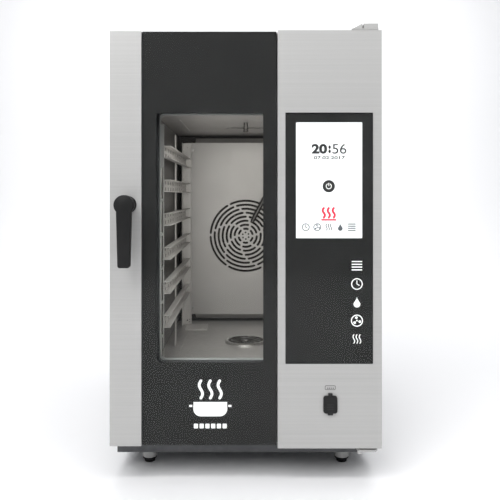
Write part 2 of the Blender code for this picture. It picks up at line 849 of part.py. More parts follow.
def make_drain():
    """The condensate box under the cavity's drain, and the outlet pipe that runs to the rear."""
    body = box("condensate_box", CONDENSATE_LOW, CONDENSATE_HIGH, "grey_plastic", 0.004)
    hollow_low = [value + CONDENSATE_WALL for value in CONDENSATE_LOW]
    hollow_high = [value - CONDENSATE_WALL for value in CONDENSATE_HIGH]
    neck = rod("condensate_neck", (0, DRAIN_DEPTH, 0), "Z", 0.0185, 0.130, 0.1855, None)
    join(body, neck)
    cut(
        body,
        box("condensate_hollow", hollow_low, hollow_high, None),
        rod("condensate_bore", (0, DRAIN_DEPTH, 0), "Z", 0.0165, 0.120, 0.200, None),
    )
    front = CONDENSATE_HIGH[1] + 0.0005
    profile = [
        (OUTLET_BORE, REAR_REACH), (OUTLET_RADIUS + 0.001, REAR_REACH),
        (OUTLET_RADIUS + 0.001, REAR_REACH - 0.004), (OUTLET_RADIUS, REAR_REACH - 0.005),
        (OUTLET_RADIUS, front), (OUTLET_BORE, front),
    ]
    turned("drain_outlet", profile, (0.0, 0.0, DRAIN_PIPE_Z), "Y", "grey_plastic", 24)


def make_exhaust_stack():
    low = CAVITY_CEILING + SHEET + 0.0005
    profile = [
        (EXHAUST_BORE, TOTAL_TOP), (EXHAUST_OUTER, TOTAL_TOP), (EXHAUST_OUTER, low),
        (EXHAUST_BORE, low),
    ]
    turned("exhaust_stack", profile, (EXHAUST_X, EXHAUST_DEPTH, 0), "Z", "brushed_steel")


def make_rear_fittings():
    """The water inlet valve and the mains gland."""
    valve = box(
        "water_inlet_valve", (VALVE[0] - 0.020, 0.728, VALVE[1] - 0.018),
        (VALVE[0] + 0.020, 0.775, VALVE[1] + 0.022),
        "grey_plastic", 0.003,
    )
    nozzle = turned(
        "valve_nozzle",
        [
            (0.0, REAR_REACH), (0.0095, REAR_REACH), (0.0120, REAR_REACH - 0.002), (0.0120, 0.770),
            (0.0, 0.770),
        ],
        (VALVE[0], 0.0, VALVE[1]), "Y", None,
    )
    bore = rod(
        "valve_bore", (VALVE[0], 0.0, VALVE[1]), "Y", 0.0065, 0.788, REAR_REACH + 0.002, None, 16,
    )
    join(valve, nozzle)
    cut(valve, bore)
    inner = 0.0065
    profile = [
        (inner, REAR_REACH), (0.0095, REAR_REACH), (0.0155, REAR_REACH - 0.005),
        (0.0155, REAR + GAP),
        (0.0122, REAR + GAP), (0.0122, 0.772), (inner, 0.772),
    ]
    turned("cable_gland", profile, (GLAND[0], 0.0, GLAND[1]), "Y", "black_plastic", 20)


def make_electrics(axis):
    """The power board and the small axial fan that cools the rear compartment."""
    board = box("power_board", (0.085, 0.7230, 0.50), (0.235, 0.7250, 0.72), "circuit_board")
    for number, (x, z, wide, high, deep) in enumerate(
        (
            (0.115, 0.56, 0.040, 0.050, 0.026), (0.175, 0.56, 0.050, 0.030, 0.018),
            (0.200, 0.66, 0.045, 0.060, 0.022),
        )
    ):
        block = box(
            f"board_block_{number}", (x - wide / 2, 0.7245, z - high / 2),
            (x + wide / 2, 0.7245 + deep, z + high / 2),
            None,
        )
        join(board, block)
    x, z = COOLING_FAN
    loops = [
        rounded(x - 0.040, z - 0.040, x + 0.040, z + 0.040, 0.006, 2), circle((x, z), 0.0375, 24),
    ]
    frame = plate("cooling_fan_frame", loops, "Y", (0.757, 0.782), "black_plastic")
    join(
        frame,
        box("fan_spoke_level", (x - 0.039, 0.778, z - 0.002), (x + 0.039, 0.7815, z + 0.002), None),
    )
    join(
        frame,
        box(
            "fan_spoke_upright", (x - 0.002, 0.7782, z - 0.039), (x + 0.002, 0.7813, z + 0.039),
            None,
        ),
    )
    hub = rod("cooling_fan_rotor", (x, 0.0, z), "Y", 0.0150, 0.7585, 0.7770, "black_plastic", 20)
    for number in range(7):
        blade = box(
            f"cooling_blade_{number}", (x + 0.010, 0.7665, z - 0.010),
            (x + 0.0355, 0.7685, z + 0.010), None,
        )
        about = Matrix.Translation((x, 0.0, z))
        spin = Matrix.Rotation(2 * pi * number / 7, 4, "Y")
        home = Matrix.Translation(blade.location)
        pitch = Matrix.Rotation(radians(30), 4, "X")
        blade.matrix_world = about @ spin @ about.inverted() @ home @ pitch
        join(hub, blade)
    ride(axis, hub)


# ---------------------------------------------------------------- hinges, legs and racks


def make_hinges():
    """Two fixed brackets on the cabinet, each with a pin that the door turns on."""
    low = HOUSING_HIGH + 0.0015
    high = low + 0.003
    top = box(
        "hinge_bracket_top", (BRACKET_LEFT - 0.010, BRACKET_FRONT, low),
        (BRACKET_RIGHT, 0.160, high), "brushed_steel",
    )
    join(
        top,
        box(
            "bracket_foot", (BRACKET_LEFT - 0.010, 0.090, LID_HIGH + GAP),
            (BRACKET_RIGHT, 0.160, low + 0.001), None,
        ),
    )
    join(
        top,
        box(
            "bracket_block", (0.2260, BRACKET_FRONT, high - 0.001),
            (BRACKET_RIGHT, 0.030, TOTAL_TOP), None, 0.0012,
        ),
    )
    gusset = [(0.2035, high - 0.0012), (0.2235, high - 0.0012), (0.2235, TOTAL_TOP - 0.0004)]
    join(top, plate("bracket_gusset", [gusset], "Y", (BRACKET_FRONT + 0.001, 0.026), None))
    pin_hole = rod(
        "bracket_pin_hole", (HINGE_X, HINGE_DEPTH, 0), "Z", PIN_RADIUS + GAP, 0.860, 0.8765, None,
        20,
    )
    cut(top, pin_hole)
    rod(
        "hinge_pin_top", (HINGE_X, HINGE_DEPTH, 0), "Z", PIN_RADIUS, 0.8652, 0.8760,
        "polished_steel", 20,
    )

    shelf = HOUSING_LOW - 0.0045
    outline = rounded(BRACKET_LEFT, BRACKET_FRONT, BRACKET_RIGHT, FRAME_FRONT - GAP, 0.010, 3)
    bottom = plate("hinge_bracket_bottom", [outline], "Z", (shelf - 0.004, shelf), "brushed_steel")
    flange_front = FRAME_FRONT - 0.0033
    join(
        bottom,
        box(
            "bracket_flange", (BRACKET_LEFT + 0.011, flange_front, 0.042),
            (BRACKET_RIGHT - 0.011, FRAME_FRONT - GAP, shelf - 0.001), None,
        ),
    )
    join(bottom, box("bracket_tab", (0.2145, 0.006, 0.0585), (0.2225, 0.012, shelf - 0.001), None))
    lower = (HINGE_X, HINGE_DEPTH, 0)
    cut(
        bottom,
        rod(
            "bottom_pin_hole", lower, "Z", PIN_RADIUS + GAP, shelf - 0.010, shelf + 0.010, None, 20,
        ),
    )
    rod("hinge_pin_bottom", lower, "Z", PIN_RADIUS, shelf - 0.005, 0.0770, "polished_steel", 20)


def feet():
    """Name, x and depth of each foot."""
    for end, depth in FOOT_DEPTHS.items():
        for side, x in (("left", -FOOT_X), ("right", FOOT_X)):
            yield f"{end}_{side}", x, depth


def make_legs():
    """A steel sleeve under the base at each corner, and a levelling foot that screws out of it."""
    for name, x, depth in feet():
        centre = (x, depth, 0.0)
        ring(
            f"leg_sleeve_{name}", centre, "Z", SLEEVE_OUTER, SLEEVE_INNER, SOLE_HIGH + 0.0008,
            BASE_LOW - GAP, "brushed_steel", 20,
        )
        profile = [
            (0.0, STUD_HIGH), (STUD_RADIUS, STUD_HIGH), (STUD_RADIUS, FOOT_SHOULDER),
            (FOOT_RADIUS, FOOT_SHOULDER), (FOOT_RADIUS, SOLE_HIGH),
            (FOOT_FLANGE, SOLE_HIGH), (FOOT_FLANGE, SOLE_HIGH - 0.002),
            (0.0112, SOLE_HIGH - 0.0035), (0.0108, 0.0),
            (0.0, 0.0),
        ]
        foot = turned(f"foot_{name}", profile, centre, "Z", "black_plastic", 20)
        ride(pivot(f"foot_axis_{name}", centre), foot)


def make_rack(name, side):
    """A side rack: three posts, six channel slides and a foot plate on the cavity floor."""

    def piece(label, near, far, look=None):
        xs = sorted((side * near[0], side * far[0]))
        return box(
            f"{name}_{label}" if look is None else name, (xs[0], near[1], near[2]),
            (xs[1], far[1], far[2]), look,
        )

    rack = piece(
        "", (RACK_WEB, RACK_FRONT, RACK_LOW), (RACK_BACK, RACK_FRONT + 0.002, RACK_HIGH),
        "cavity_steel",
    )
    extras = [
        piece(
            "front_web", (RACK_BACK - 0.0018, RACK_FRONT + 0.001, RACK_LOW + 0.0002),
            (RACK_BACK - 0.0002, 0.130, RACK_HIGH - 0.0002),
        ),
        piece(
            "middle_post", (RACK_WEB + 0.0008, 0.330, RACK_LOW),
            (RACK_WEB + 0.0030, 0.356, RACK_HIGH),
        ),
        piece(
            "rear_web", (RACK_BACK - 0.0018, 0.560, RACK_LOW + 0.0002),
            (RACK_BACK - 0.0002, RACK_REAR - 0.001, RACK_HIGH - 0.0002),
        ),
        piece("rear_post", (0.153, RACK_REAR - 0.002, RACK_LOW), (RACK_BACK, RACK_REAR, RACK_HIGH)),
        piece("foot_plate", (0.105, 0.507, RACK_LOW), (0.165, RACK_REAR - 0.001, RACK_LOW + 0.002)),
    ]
    for number in range(SHELF_COUNT):
        z = SHELF_FIRST + number * SHELF_PITCH
        channel = [
            (RACK_TIP, z - SLIDE_HALF), (RACK_WEB + SHEET, z - SLIDE_HALF),
            (RACK_WEB + SHEET, z + SLIDE_HALF),
            (RACK_TIP, z + SLIDE_HALF), (RACK_TIP, z + SLIDE_HALF - SHEET),
            (RACK_WEB, z + SLIDE_HALF - SHEET),
            (RACK_WEB, z - SLIDE_HALF + SHEET), (RACK_TIP, z - SLIDE_HALF + SHEET),
        ]
        outline = [(side * x, height) for x, height in channel]
        extras.append(
            plate(
                f"{name}_slide_{number}", [outline], "Y", (RACK_FRONT + 0.001, RACK_REAR - 0.001),
                None,
            ),
        )
    join(rack, *extras)
    ride(pivot(f"{name}_axis", (side * RACK_BACK, RACK_FRONT, RACK_LOW)), rack)


# ---------------------------------------------------------------- joints' empties


def pivot(name, centre, parent=None):
    """An empty on a joint's axis, at an (x, depth, z) point."""
    made = bpy.data.objects.new(name, None)
    PARTS.objects.link(made)
    made.empty_display_size = 0.02
    made.location = (centre[0], y_at(centre[1]), centre[2])
    if parent:
        ride(parent, made)
    return made


def ride(axis, *pieces):
    """Parents pieces to an axis and leaves them where they are."""
    bpy.context.view_layer.update()
    for piece in pieces:
        piece.parent = axis
        piece.matrix_parent_inverse = axis.matrix_world.inverted()


# ---------------------------------------------------------------- door


def make_door_shells(axis):
    """The pan that carries the door, the stile on its left and the control housing on its right."""
    pan = open_box(
        "door_pan", (-PAN_HALF, PAN_FRONT, STILE_LOW + 0.004),
        (PAN_HALF, PAN_REAR, STILE_HIGH - 0.003), (0, -1, 0),
        SHEET, "galvanised",
    )
    cut(
        pan,
        box("pan_window", (WINDOW_LEFT, 0.04, WINDOW_LOW), (WINDOW_RIGHT, 0.06, WINDOW_HIGH), None),
        rod("pan_spindle_hole", (HANDLE_X, PAN_REAR, HANDLE_Z), "Y", SPINDLE_HOLE, -0.02, 0.02, None,
            16),
    )
    stile = open_box(
        "left_stile", (-HALF, 0.0, STILE_LOW), (STILE_RIGHT, DOOR_BACK, STILE_HIGH), (0, 1, 0),
        SHEET, "brushed_steel"
    )
    cut(
        stile,
        box(
            "stile_relief", (STILE_RIGHT - 0.004, PAN_FRONT - 0.0005, STILE_LOW + SHEET),
            (STILE_RIGHT + 0.004, DOOR_BACK + 0.01, STILE_HIGH - SHEET), None,
        ),
        rod("stile_spindle_hole", (HANDLE_X, 0, HANDLE_Z), "Y", SPINDLE_HOLE, -0.02, 0.01, None,
            16),
    )
    housing = open_box(
        "control_housing", (HOUSING_LEFT, 0.0, HOUSING_LOW), (HALF, DOOR_BACK, HOUSING_HIGH),
        (0, 1, 0), SHEET,
        "brushed_steel",
    )
    usb_z = (USB_LOW + USB_HIGH) / 2
    cut(
        housing,
        box(
            "housing_relief", (HOUSING_LEFT - 0.004, PAN_FRONT - 0.0005, HOUSING_LOW + SHEET),
            (HOUSING_LEFT + 0.004, DOOR_BACK + 0.01, HOUSING_HIGH - SHEET), None,
        ),
        box(
            "housing_glass_hole", (PANEL_LEFT - GAP, -0.01, PANEL_LOW - GAP),
            (PANEL_RIGHT + GAP, 0.01, PANEL_TOP + GAP), None,
        ),
        box(
            "housing_usb_hole", (USB_X - 0.0095, -0.01, usb_z - 0.0060),
            (USB_X + 0.0095, 0.01, usb_z + 0.0050), None,
        ),
        rod(
            "housing_pin_hole_top", (HINGE_X, HINGE_DEPTH, HOUSING_HIGH), "Z", PIN_HOLE, -0.01,
            0.01, None, 20,
        ),
        rod(
            "housing_pin_hole_low", (HINGE_X, HINGE_DEPTH, HOUSING_LOW), "Z", PIN_HOLE, -0.01,
            0.01, None, 20,
        ),
    )
    ride(axis, pan, stile, housing)


def make_glazing(axis):
    """The outer pane, the inner pane with its hinge strip, and the black sleeve between them."""
    outer = plate(
        "outer_glass", [rounded(GLASS_LEFT, GLASS_LOW, GLASS_RIGHT, GLASS_HIGH, 0.004, 2)], "Y",
        (GLASS_FRONT, GLASS_FRONT + GLASS), "clear_glass",
    )
    front = PAN_REAR + 0.0005
    inner = plate(
        "inner_glass", [rounded(-INNER_HALF, INNER_LOW, INNER_HALF, INNER_HIGH, 0.006, 2)], "Y",
        (front, front + GLASS), "clear_glass",
    )
    sleeve_front = GLASS_FRONT + GLASS + GAP
    wall = SHEET
    loops = [
        rectangle(WINDOW_LEFT - wall, WINDOW_LOW - wall, WINDOW_RIGHT + wall, WINDOW_HIGH + wall),
        rectangle(WINDOW_LEFT, WINDOW_LOW, WINDOW_RIGHT, WINDOW_HIGH),
    ]
    sleeve = plate(
        "glazing_spacer", loops, "Y", (sleeve_front, PAN_REAR - SHEET - GAP), "black_plastic",
    )
    strip = box(
        "inner_glass_hinge", (INNER_HALF + GAP, front, INNER_LOW + 0.03),
        (INNER_HALF + 0.010, front + 0.0045, INNER_HIGH - 0.03),
        "brushed_steel", 0.001,
    )
    channel = open_box(
        "drip_channel", (-INNER_HALF, front, 0.186), (INNER_HALF, 0.0635, 0.1985), (0, 0, 1), SHEET,
        "cavity_steel"
    )
    ride(axis, outer, inner, sleeve, strip, channel)


def make_controls(axis):
    """The control glass in the housing, with the touch display, board and data socket behind it."""
    glass_rear = PANEL_GLASS_FRONT + PANEL_GLASS
    glass = plate(
        "control_glass", [rounded(PANEL_LEFT, PANEL_LOW, PANEL_RIGHT, PANEL_TOP, 0.0015, 2)], "Y",
        (PANEL_GLASS_FRONT, glass_rear), "black_glass",
    )
    rear = glass_rear + GAP
    module = box(
        "display_module", (SCREEN_LEFT - 0.006, rear, SCREEN_LOW - 0.008),
        (SCREEN_RIGHT + 0.006, rear + 0.009, SCREEN_HIGH + 0.008),
        "display", 0.0008,
    )
    board_front = rear + 0.009 + 0.004
    board = box(
        "control_board", (SCREEN_LEFT - 0.004, board_front, 0.300),
        (SCREEN_RIGHT + 0.004, board_front + 0.0016, 0.660),
        "circuit_board",
    )
    for number, (x, z, wide, high) in enumerate(
        ((0.130, 0.36, 0.03, 0.03), (0.190, 0.40, 0.04, 0.02), (0.160, 0.52, 0.05, 0.05)),
    ):
        chip = box(
            f"chip_{number}", (x - wide / 2, board_front + 0.0012, z - high / 2),
            (x + wide / 2, board_front + 0.008, z + high / 2),
            None,
        )
        join(board, chip)
    usb_z = (USB_LOW + USB_HIGH) / 2
    socket = box(
        "usb_socket", (USB_X - 0.0125, SHEET + 0.0030, usb_z - 0.0085),
        (USB_X + 0.0125, 0.022, usb_z + 0.0085), "black_plastic"
    )
    cut(
        socket,
        box(
            "usb_slot", (USB_X - 0.0065, 0.0, usb_z - 0.0026),
            (USB_X + 0.0065, 0.015, usb_z + 0.0026), None,
        ),
    )
    join(
        socket,
        box(
            "usb_tongue", (USB_X - 0.0050, 0.0062, usb_z - 0.0002),
            (USB_X + 0.0050, 0.0155, usb_z + 0.0016), None,
        ),
    )
    ride(axis, glass, module, board, socket)


def make_usb_cover(door_axis):
    """The rubber flap over the data socket: a cover, a plug, a pull and the strap it bends on."""
    cover = plate(
        "usb_cover", [rounded(USB_X - USB_HALF, USB_LOW, USB_X + USB_HALF, USB_HIGH, 0.0045, 3)],
        "Y", (-0.0042, -GAP),
        "black_plastic",
    )
    usb_z = (USB_LOW + USB_HIGH) / 2
    join(
        cover,
        box(
            "usb_plug", (USB_X - 0.0080, -0.001, usb_z - 0.0045),
            (USB_X + 0.0080, 0.0024, usb_z + 0.0035), None,
        ),
    )
    join(
        cover,
        box(
            "usb_strap", (USB_X - 0.0040, -0.0030, USB_HIGH - 0.002),
            (USB_X + 0.0040, -0.0008, USB_HIGH + 0.0050), None,
        ),
    )
    join(
        cover,
        box(
            "usb_pull", (USB_X - 0.0050, -0.0040, USB_LOW - 0.0035),
            (USB_X + 0.0050, -0.0010, USB_LOW + 0.001), None, 0.0006,
        ),
    )
    ride(pivot("usb_axis", (USB_X, USB_HINGE_DEPTH, USB_HINGE_Z), door_axis), cover)


def make_handle(door_axis):
    """The drop-shaped lever on its spindle, the latch cam behind the door and the fixed rose."""
    rose = ring(
        "handle_rose", (HANDLE_X, 0, HANDLE_Z), "Y", ROSE_OUTER, ROSE_INNER, -0.0040, -GAP,
        "black_plastic", 28,
    )
    ride(door_axis, rose)
    neck = radians(38)
    half_low = 0.0111
    low = HANDLE_Z - HANDLE_LENGTH
    head = arc((HANDLE_X, HANDLE_Z), HANDLE_HEAD, -90 + 48, 270 - 48, 18)
    left_foot = arc((HANDLE_X - half_low + 0.003, low + 0.003), 0.003, 180, 270, 2)
    right_foot = arc((HANDLE_X + half_low - 0.003, low + 0.003), 0.003, 270, 360, 2)
    shoulder = HANDLE_Z - HANDLE_HEAD * cos(neck) - 0.004
    outline = head + [(HANDLE_X - 0.0134, shoulder)] + left_foot + right_foot + [
        (HANDLE_X + 0.0134, shoulder),
    ]
    lever = plate(
        "handle_lever", [outline], "Y", (-HANDLE_REACH, -HANDLE_REACH + HANDLE_THICK),
        "black_plastic",
    )
    join(
        lever,
        rod(
            "lever_boss", (HANDLE_X, 0, HANDLE_Z), "Y", BOSS_RADIUS,
            -HANDLE_REACH + HANDLE_THICK - 0.002, -0.0048, None,
        ),
    )
    cut(
        lever,
        rod(
            "lever_bore", (HANDLE_X, 0, HANDLE_Z), "Y", SPINDLE_BORE, -HANDLE_REACH + 0.008, 0.0,
            None, 16,
        ),
    )
    spindle = rod(
        "handle_spindle", (HANDLE_X, 0, HANDLE_Z), "Y", SPINDLE_RADIUS, -HANDLE_REACH + 0.0085,
        SPINDLE_REAR, "polished_steel", 16,
    )
    hub = arc((HANDLE_X, HANDLE_Z), CAM_HUB, -40, 220, 10)
    nose = [(HANDLE_X - CAM_NOSE, HANDLE_Z - CAM_REACH), (HANDLE_X + CAM_NOSE, HANDLE_Z - CAM_REACH)]
    cam = plate(
        "latch_cam", [hub + nose, circle((HANDLE_X, HANDLE_Z), SPINDLE_BORE, 16)], "Y",
        (CAM_FRONT, CAM_FRONT + CAM_THICK),
        "polished_steel",
    )
    ride(pivot("handle_axis", (HANDLE_X, 0.0, HANDLE_Z), door_axis), lever, spindle, cam)


def build():
    make_base_pan()
    make_side_panel("left_side_panel", -1)
    make_side_panel("right_side_panel", 1)
    make_top_panel()
    make_rear_panel()
    make_front_frame()
    make_strike_cup()
    make_cavity_liner()
    make_insulation()
    make_door_seal()
    make_fan_baffle()
    make_heating_element()
    make_motor()
    make_impeller(pivot("fan_axis", (0.0, 0.66, FAN_Z)))
    make_humidifier_tube()
    make_wash_system(pivot("wash_axis", (0.0, WASH_DEPTH, 0.714)))
    make_drain_cover()
    make_drain()
    make_exhaust_stack()
    make_rear_fittings()
    make_electrics(pivot("cooling_axis", (COOLING_FAN[0], 0.768, COOLING_FAN[1])))
    make_hinges()
    make_legs()
    make_rack("rack_left", -1)
    make_rack("rack_right", 1)
    door_axis = pivot("door_axis", (HINGE_X, HINGE_DEPTH, 0.47))
    make_door_shells(door_axis)
    make_glazing(door_axis)
    make_controls(door_axis)
    make_usb_cover(door_axis)
    make_handle(door_axis)


build()
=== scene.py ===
import json
from math import cos, degrees, pi, radians, sin

import bmesh
import bpy
from mathutils import Matrix, Vector


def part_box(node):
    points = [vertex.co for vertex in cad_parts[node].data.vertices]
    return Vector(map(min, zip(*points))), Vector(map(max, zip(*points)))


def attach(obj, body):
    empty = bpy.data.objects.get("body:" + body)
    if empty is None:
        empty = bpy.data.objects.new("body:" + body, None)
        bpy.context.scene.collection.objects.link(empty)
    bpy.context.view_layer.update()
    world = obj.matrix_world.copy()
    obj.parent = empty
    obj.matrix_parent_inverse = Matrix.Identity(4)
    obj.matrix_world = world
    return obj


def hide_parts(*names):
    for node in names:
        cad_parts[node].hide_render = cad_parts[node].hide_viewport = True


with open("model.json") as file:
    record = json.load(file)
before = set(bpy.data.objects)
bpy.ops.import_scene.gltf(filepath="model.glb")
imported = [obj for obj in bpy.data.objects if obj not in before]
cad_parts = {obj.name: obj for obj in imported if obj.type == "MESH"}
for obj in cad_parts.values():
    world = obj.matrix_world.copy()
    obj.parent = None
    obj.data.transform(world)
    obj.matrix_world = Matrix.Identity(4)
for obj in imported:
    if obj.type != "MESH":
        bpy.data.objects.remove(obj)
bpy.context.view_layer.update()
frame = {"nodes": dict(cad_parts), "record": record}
NODES = frame["nodes"]
RECORD = frame["record"]

# ---------------------------------------------------------------- sizes, in metres

FRONT_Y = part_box("control_glass")[0].y - 0.0004
GLASS_LEFT, GLASS_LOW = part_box("outer_glass")[0].x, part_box("outer_glass")[0].z
GLASS_RIGHT, GLASS_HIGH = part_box("outer_glass")[1].x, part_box("outer_glass")[1].z
WINDOW = (-0.1706, 0.2338, 0.0334, 0.7103)
SCREEN_LOW, SCREEN_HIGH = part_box("display_module")
SCREEN_RIM = (0.0062, 0.0080)
FAN_Z = 0.435
LINER_INSIDE = 0.0020
SHELF_FIRST = 0.2915
SHELF_PITCH = 0.0704
PRINT_SPAN = (0.00034, 0.00024)
CAMERA_DISTANCE = 1.2
CAMERA_HEIGHT = 0.555
CAMERA_LENS = 45.33
CAMERA_SHIFT = (0.0086, -0.111)
EDGE_ROUNDING = 0.0006
FINE_ROUNDING = 0.00025
SLOTS = {row["node"]: row["material_slot"] for row in RECORD["subparts"]}

# ---------------------------------------------------------------- materials

MATERIALS = {}


def wired(tree, kind, values=(), **links):
    """A shader node with its values set and its sockets fed from other nodes' outputs."""
    node = tree.nodes.new(kind)
    for key, value in dict(values).items():
        node.inputs[key].default_value = value
    for key, source in links.items():
        tree.links.new(source, node.inputs[key.replace("_", " ")])
    return node


def noise(tree, stretch, detail=3.0, rough=0.55, low=0.0, high=1.0):
    """Noise in the row frame, as a number between low and high. stretch is one scale, or one per axis."""
    place = tree.nodes.new("ShaderNodeTexCoord")
    scale = stretch if isinstance(stretch, tuple) else (stretch, stretch, stretch)
    turn = wired(tree, "ShaderNodeMapping", {"Scale": scale}, Vector=place.outputs["Object"])
    grain = wired(
        tree, "ShaderNodeTexNoise", {"Scale": 1.0, "Detail": detail, "Roughness": rough},
        Vector=turn.outputs["Vector"],
    )
    fit = wired(
        tree, "ShaderNodeMapRange", {"From Min": 0.28, "From Max": 0.72, "To Min": low, "To Max": high},
        Value=grain.outputs["Fac"],
    )
    return fit.outputs["Result"]


def blend_colours(tree, amount, first, second):
    """A colour between two others."""
    mix = tree.nodes.new("ShaderNodeMix")
    mix.data_type = "RGBA"
    mix.inputs["A"].default_value = (*first, 1.0)
    mix.inputs["B"].default_value = (*second, 1.0)
    tree.links.new(amount, mix.inputs["Factor"])
    return mix.outputs["Result"]


def finish_of(
    name, dark, light, rough, grain, patch=9.0, depth=0.00002, metallic=0.0, edge=0.0, detail=4.0,
    **sockets,
):
    """A finish with its own grain: the colour and gloss drift in patches and the surface has a fine relief.

    rough holds the least and the most roughness, grain the relief's scale, depth its height in metres and
    edge how much lighter the worn edges are.
    """
    made = bpy.data.materials.new(name)
    made.use_nodes = True
    tree = made.node_tree
    shader = tree.nodes["Principled BSDF"]
    shader.inputs["Metallic"].default_value = metallic
    for key, value in sockets.items():
        shader.inputs[key.replace("_", " ")].default_value = value
    colour = blend_colours(tree, noise(tree, patch, 5.0, 0.62), dark, light)
    if edge:
        place = tree.nodes.new("ShaderNodeNewGeometry")
        worn = wired(
            tree, "ShaderNodeMapRange", {"From Min": 0.51, "From Max": 0.60, "To Min": 0.0, "To Max": edge},
            Value=place.outputs["Pointiness"],
        )
        mix = tree.nodes.new("ShaderNodeMix")
        mix.data_type = "RGBA"
        tree.links.new(worn.outputs["Result"], mix.inputs["Factor"])
        tree.links.new(colour, mix.inputs["A"])
        mix.inputs["B"].default_value = (*[min(1.0, value * 1.6 + 0.03) for value in light], 1.0)
        colour = mix.outputs["Result"]
    tree.links.new(colour, shader.inputs["Base Color"])
    relief = noise(tree, grain, detail, 0.6)
    gloss = wired(
        tree, "ShaderNodeMapRange", {
            "To Min": rough[0], "To Max": rough[1]
        }, Value=noise(tree, grain, 3.0, 0.7)
    )
    tree.links.new(gloss.outputs["Result"], shader.inputs["Roughness"])
    bump = wired(tree, "ShaderNodeBump", {"Strength": 1.0, "Distance": depth}, Height=relief)
    tree.links.new(bump.outputs["Normal"], shader.inputs["Normal"])
    MATERIALS[name] = made
    return made


def clear_glass(name):
    """Clear pane: faint smears in its gloss, and lamps shine through it."""
    made = finish_of(
        name, (0.97, 0.985, 0.98), (0.985, 0.99, 0.99), (0.015, 0.05), 14.0, depth=0.0000004,
        Transmission_Weight=1.0, IOR=1.13,
    )
    tree = made.node_tree
    shader = tree.nodes["Principled BSDF"]
    out = next(node for node in tree.nodes if node.type == "OUTPUT_MATERIAL")
    path = tree.nodes.new("ShaderNodeLightPath")
    through = wired(tree, "ShaderNodeBsdfTransparent", {"Color": (0.95, 0.96, 0.955, 1.0)})
    mix = tree.nodes.new("ShaderNodeMixShader")
    tree.links.new(path.outputs["Is Shadow Ray"], mix.inputs[0])
    tree.links.new(shader.outputs["BSDF"], mix.inputs[1])
    tree.links.new(through.outputs["BSDF"], mix.inputs[2])
    tree.links.new(mix.outputs["Shader"], out.inputs["Surface"])
    return made


def paint_shade_along(made, axis, start, end, most, colour):
    """Paints shade: blends a finish into a darker colour along an axis of the row frame, on both sides alike
    for X.
    """
    tree = made.node_tree
    shader = tree.nodes["Principled BSDF"]
    clean = shader.inputs["Base Color"].links[0].from_socket
    here = tree.nodes.new("ShaderNodeTexCoord")
    axes = wired(tree, "ShaderNodeSeparateXYZ", Vector=here.outputs["Object"])
    reach = axes.outputs[axis]
    if axis == "X":
        size = wired(tree, "ShaderNodeMath", Value=reach)
        size.operation = "ABSOLUTE"
        reach = size.outputs["Value"]
    amount = wired(
        tree, "ShaderNodeMapRange", {"From Min": start, "From Max": end, "To Min": 0.0, "To Max": most},
        Value=reach,
    )
    mix = tree.nodes.new("ShaderNodeMix")
    mix.data_type = "RGBA"
    tree.links.new(amount.outputs["Result"], mix.inputs["Factor"])
    tree.links.new(clean, mix.inputs["A"])
    mix.inputs["B"].default_value = (*colour, 1.0)
    tree.links.new(mix.outputs["Result"], shader.inputs["Base Color"])


def lit(name, dark, light, strength):
    """A printed or lit colour of the screen, slightly uneven like a panel's backlight."""
    made = finish_of(name, dark, light, (0.35, 0.5), 900.0, patch=6.0, depth=0.000001)
    tree = made.node_tree
    shader = tree.nodes["Principled BSDF"]
    glow = blend_colours(tree, noise(tree, 7.0, 2.0), dark, light)
    tree.links.new(glow, shader.inputs["Emission Color"])
    shader.inputs["Emission Strength"].default_value = strength
    return made


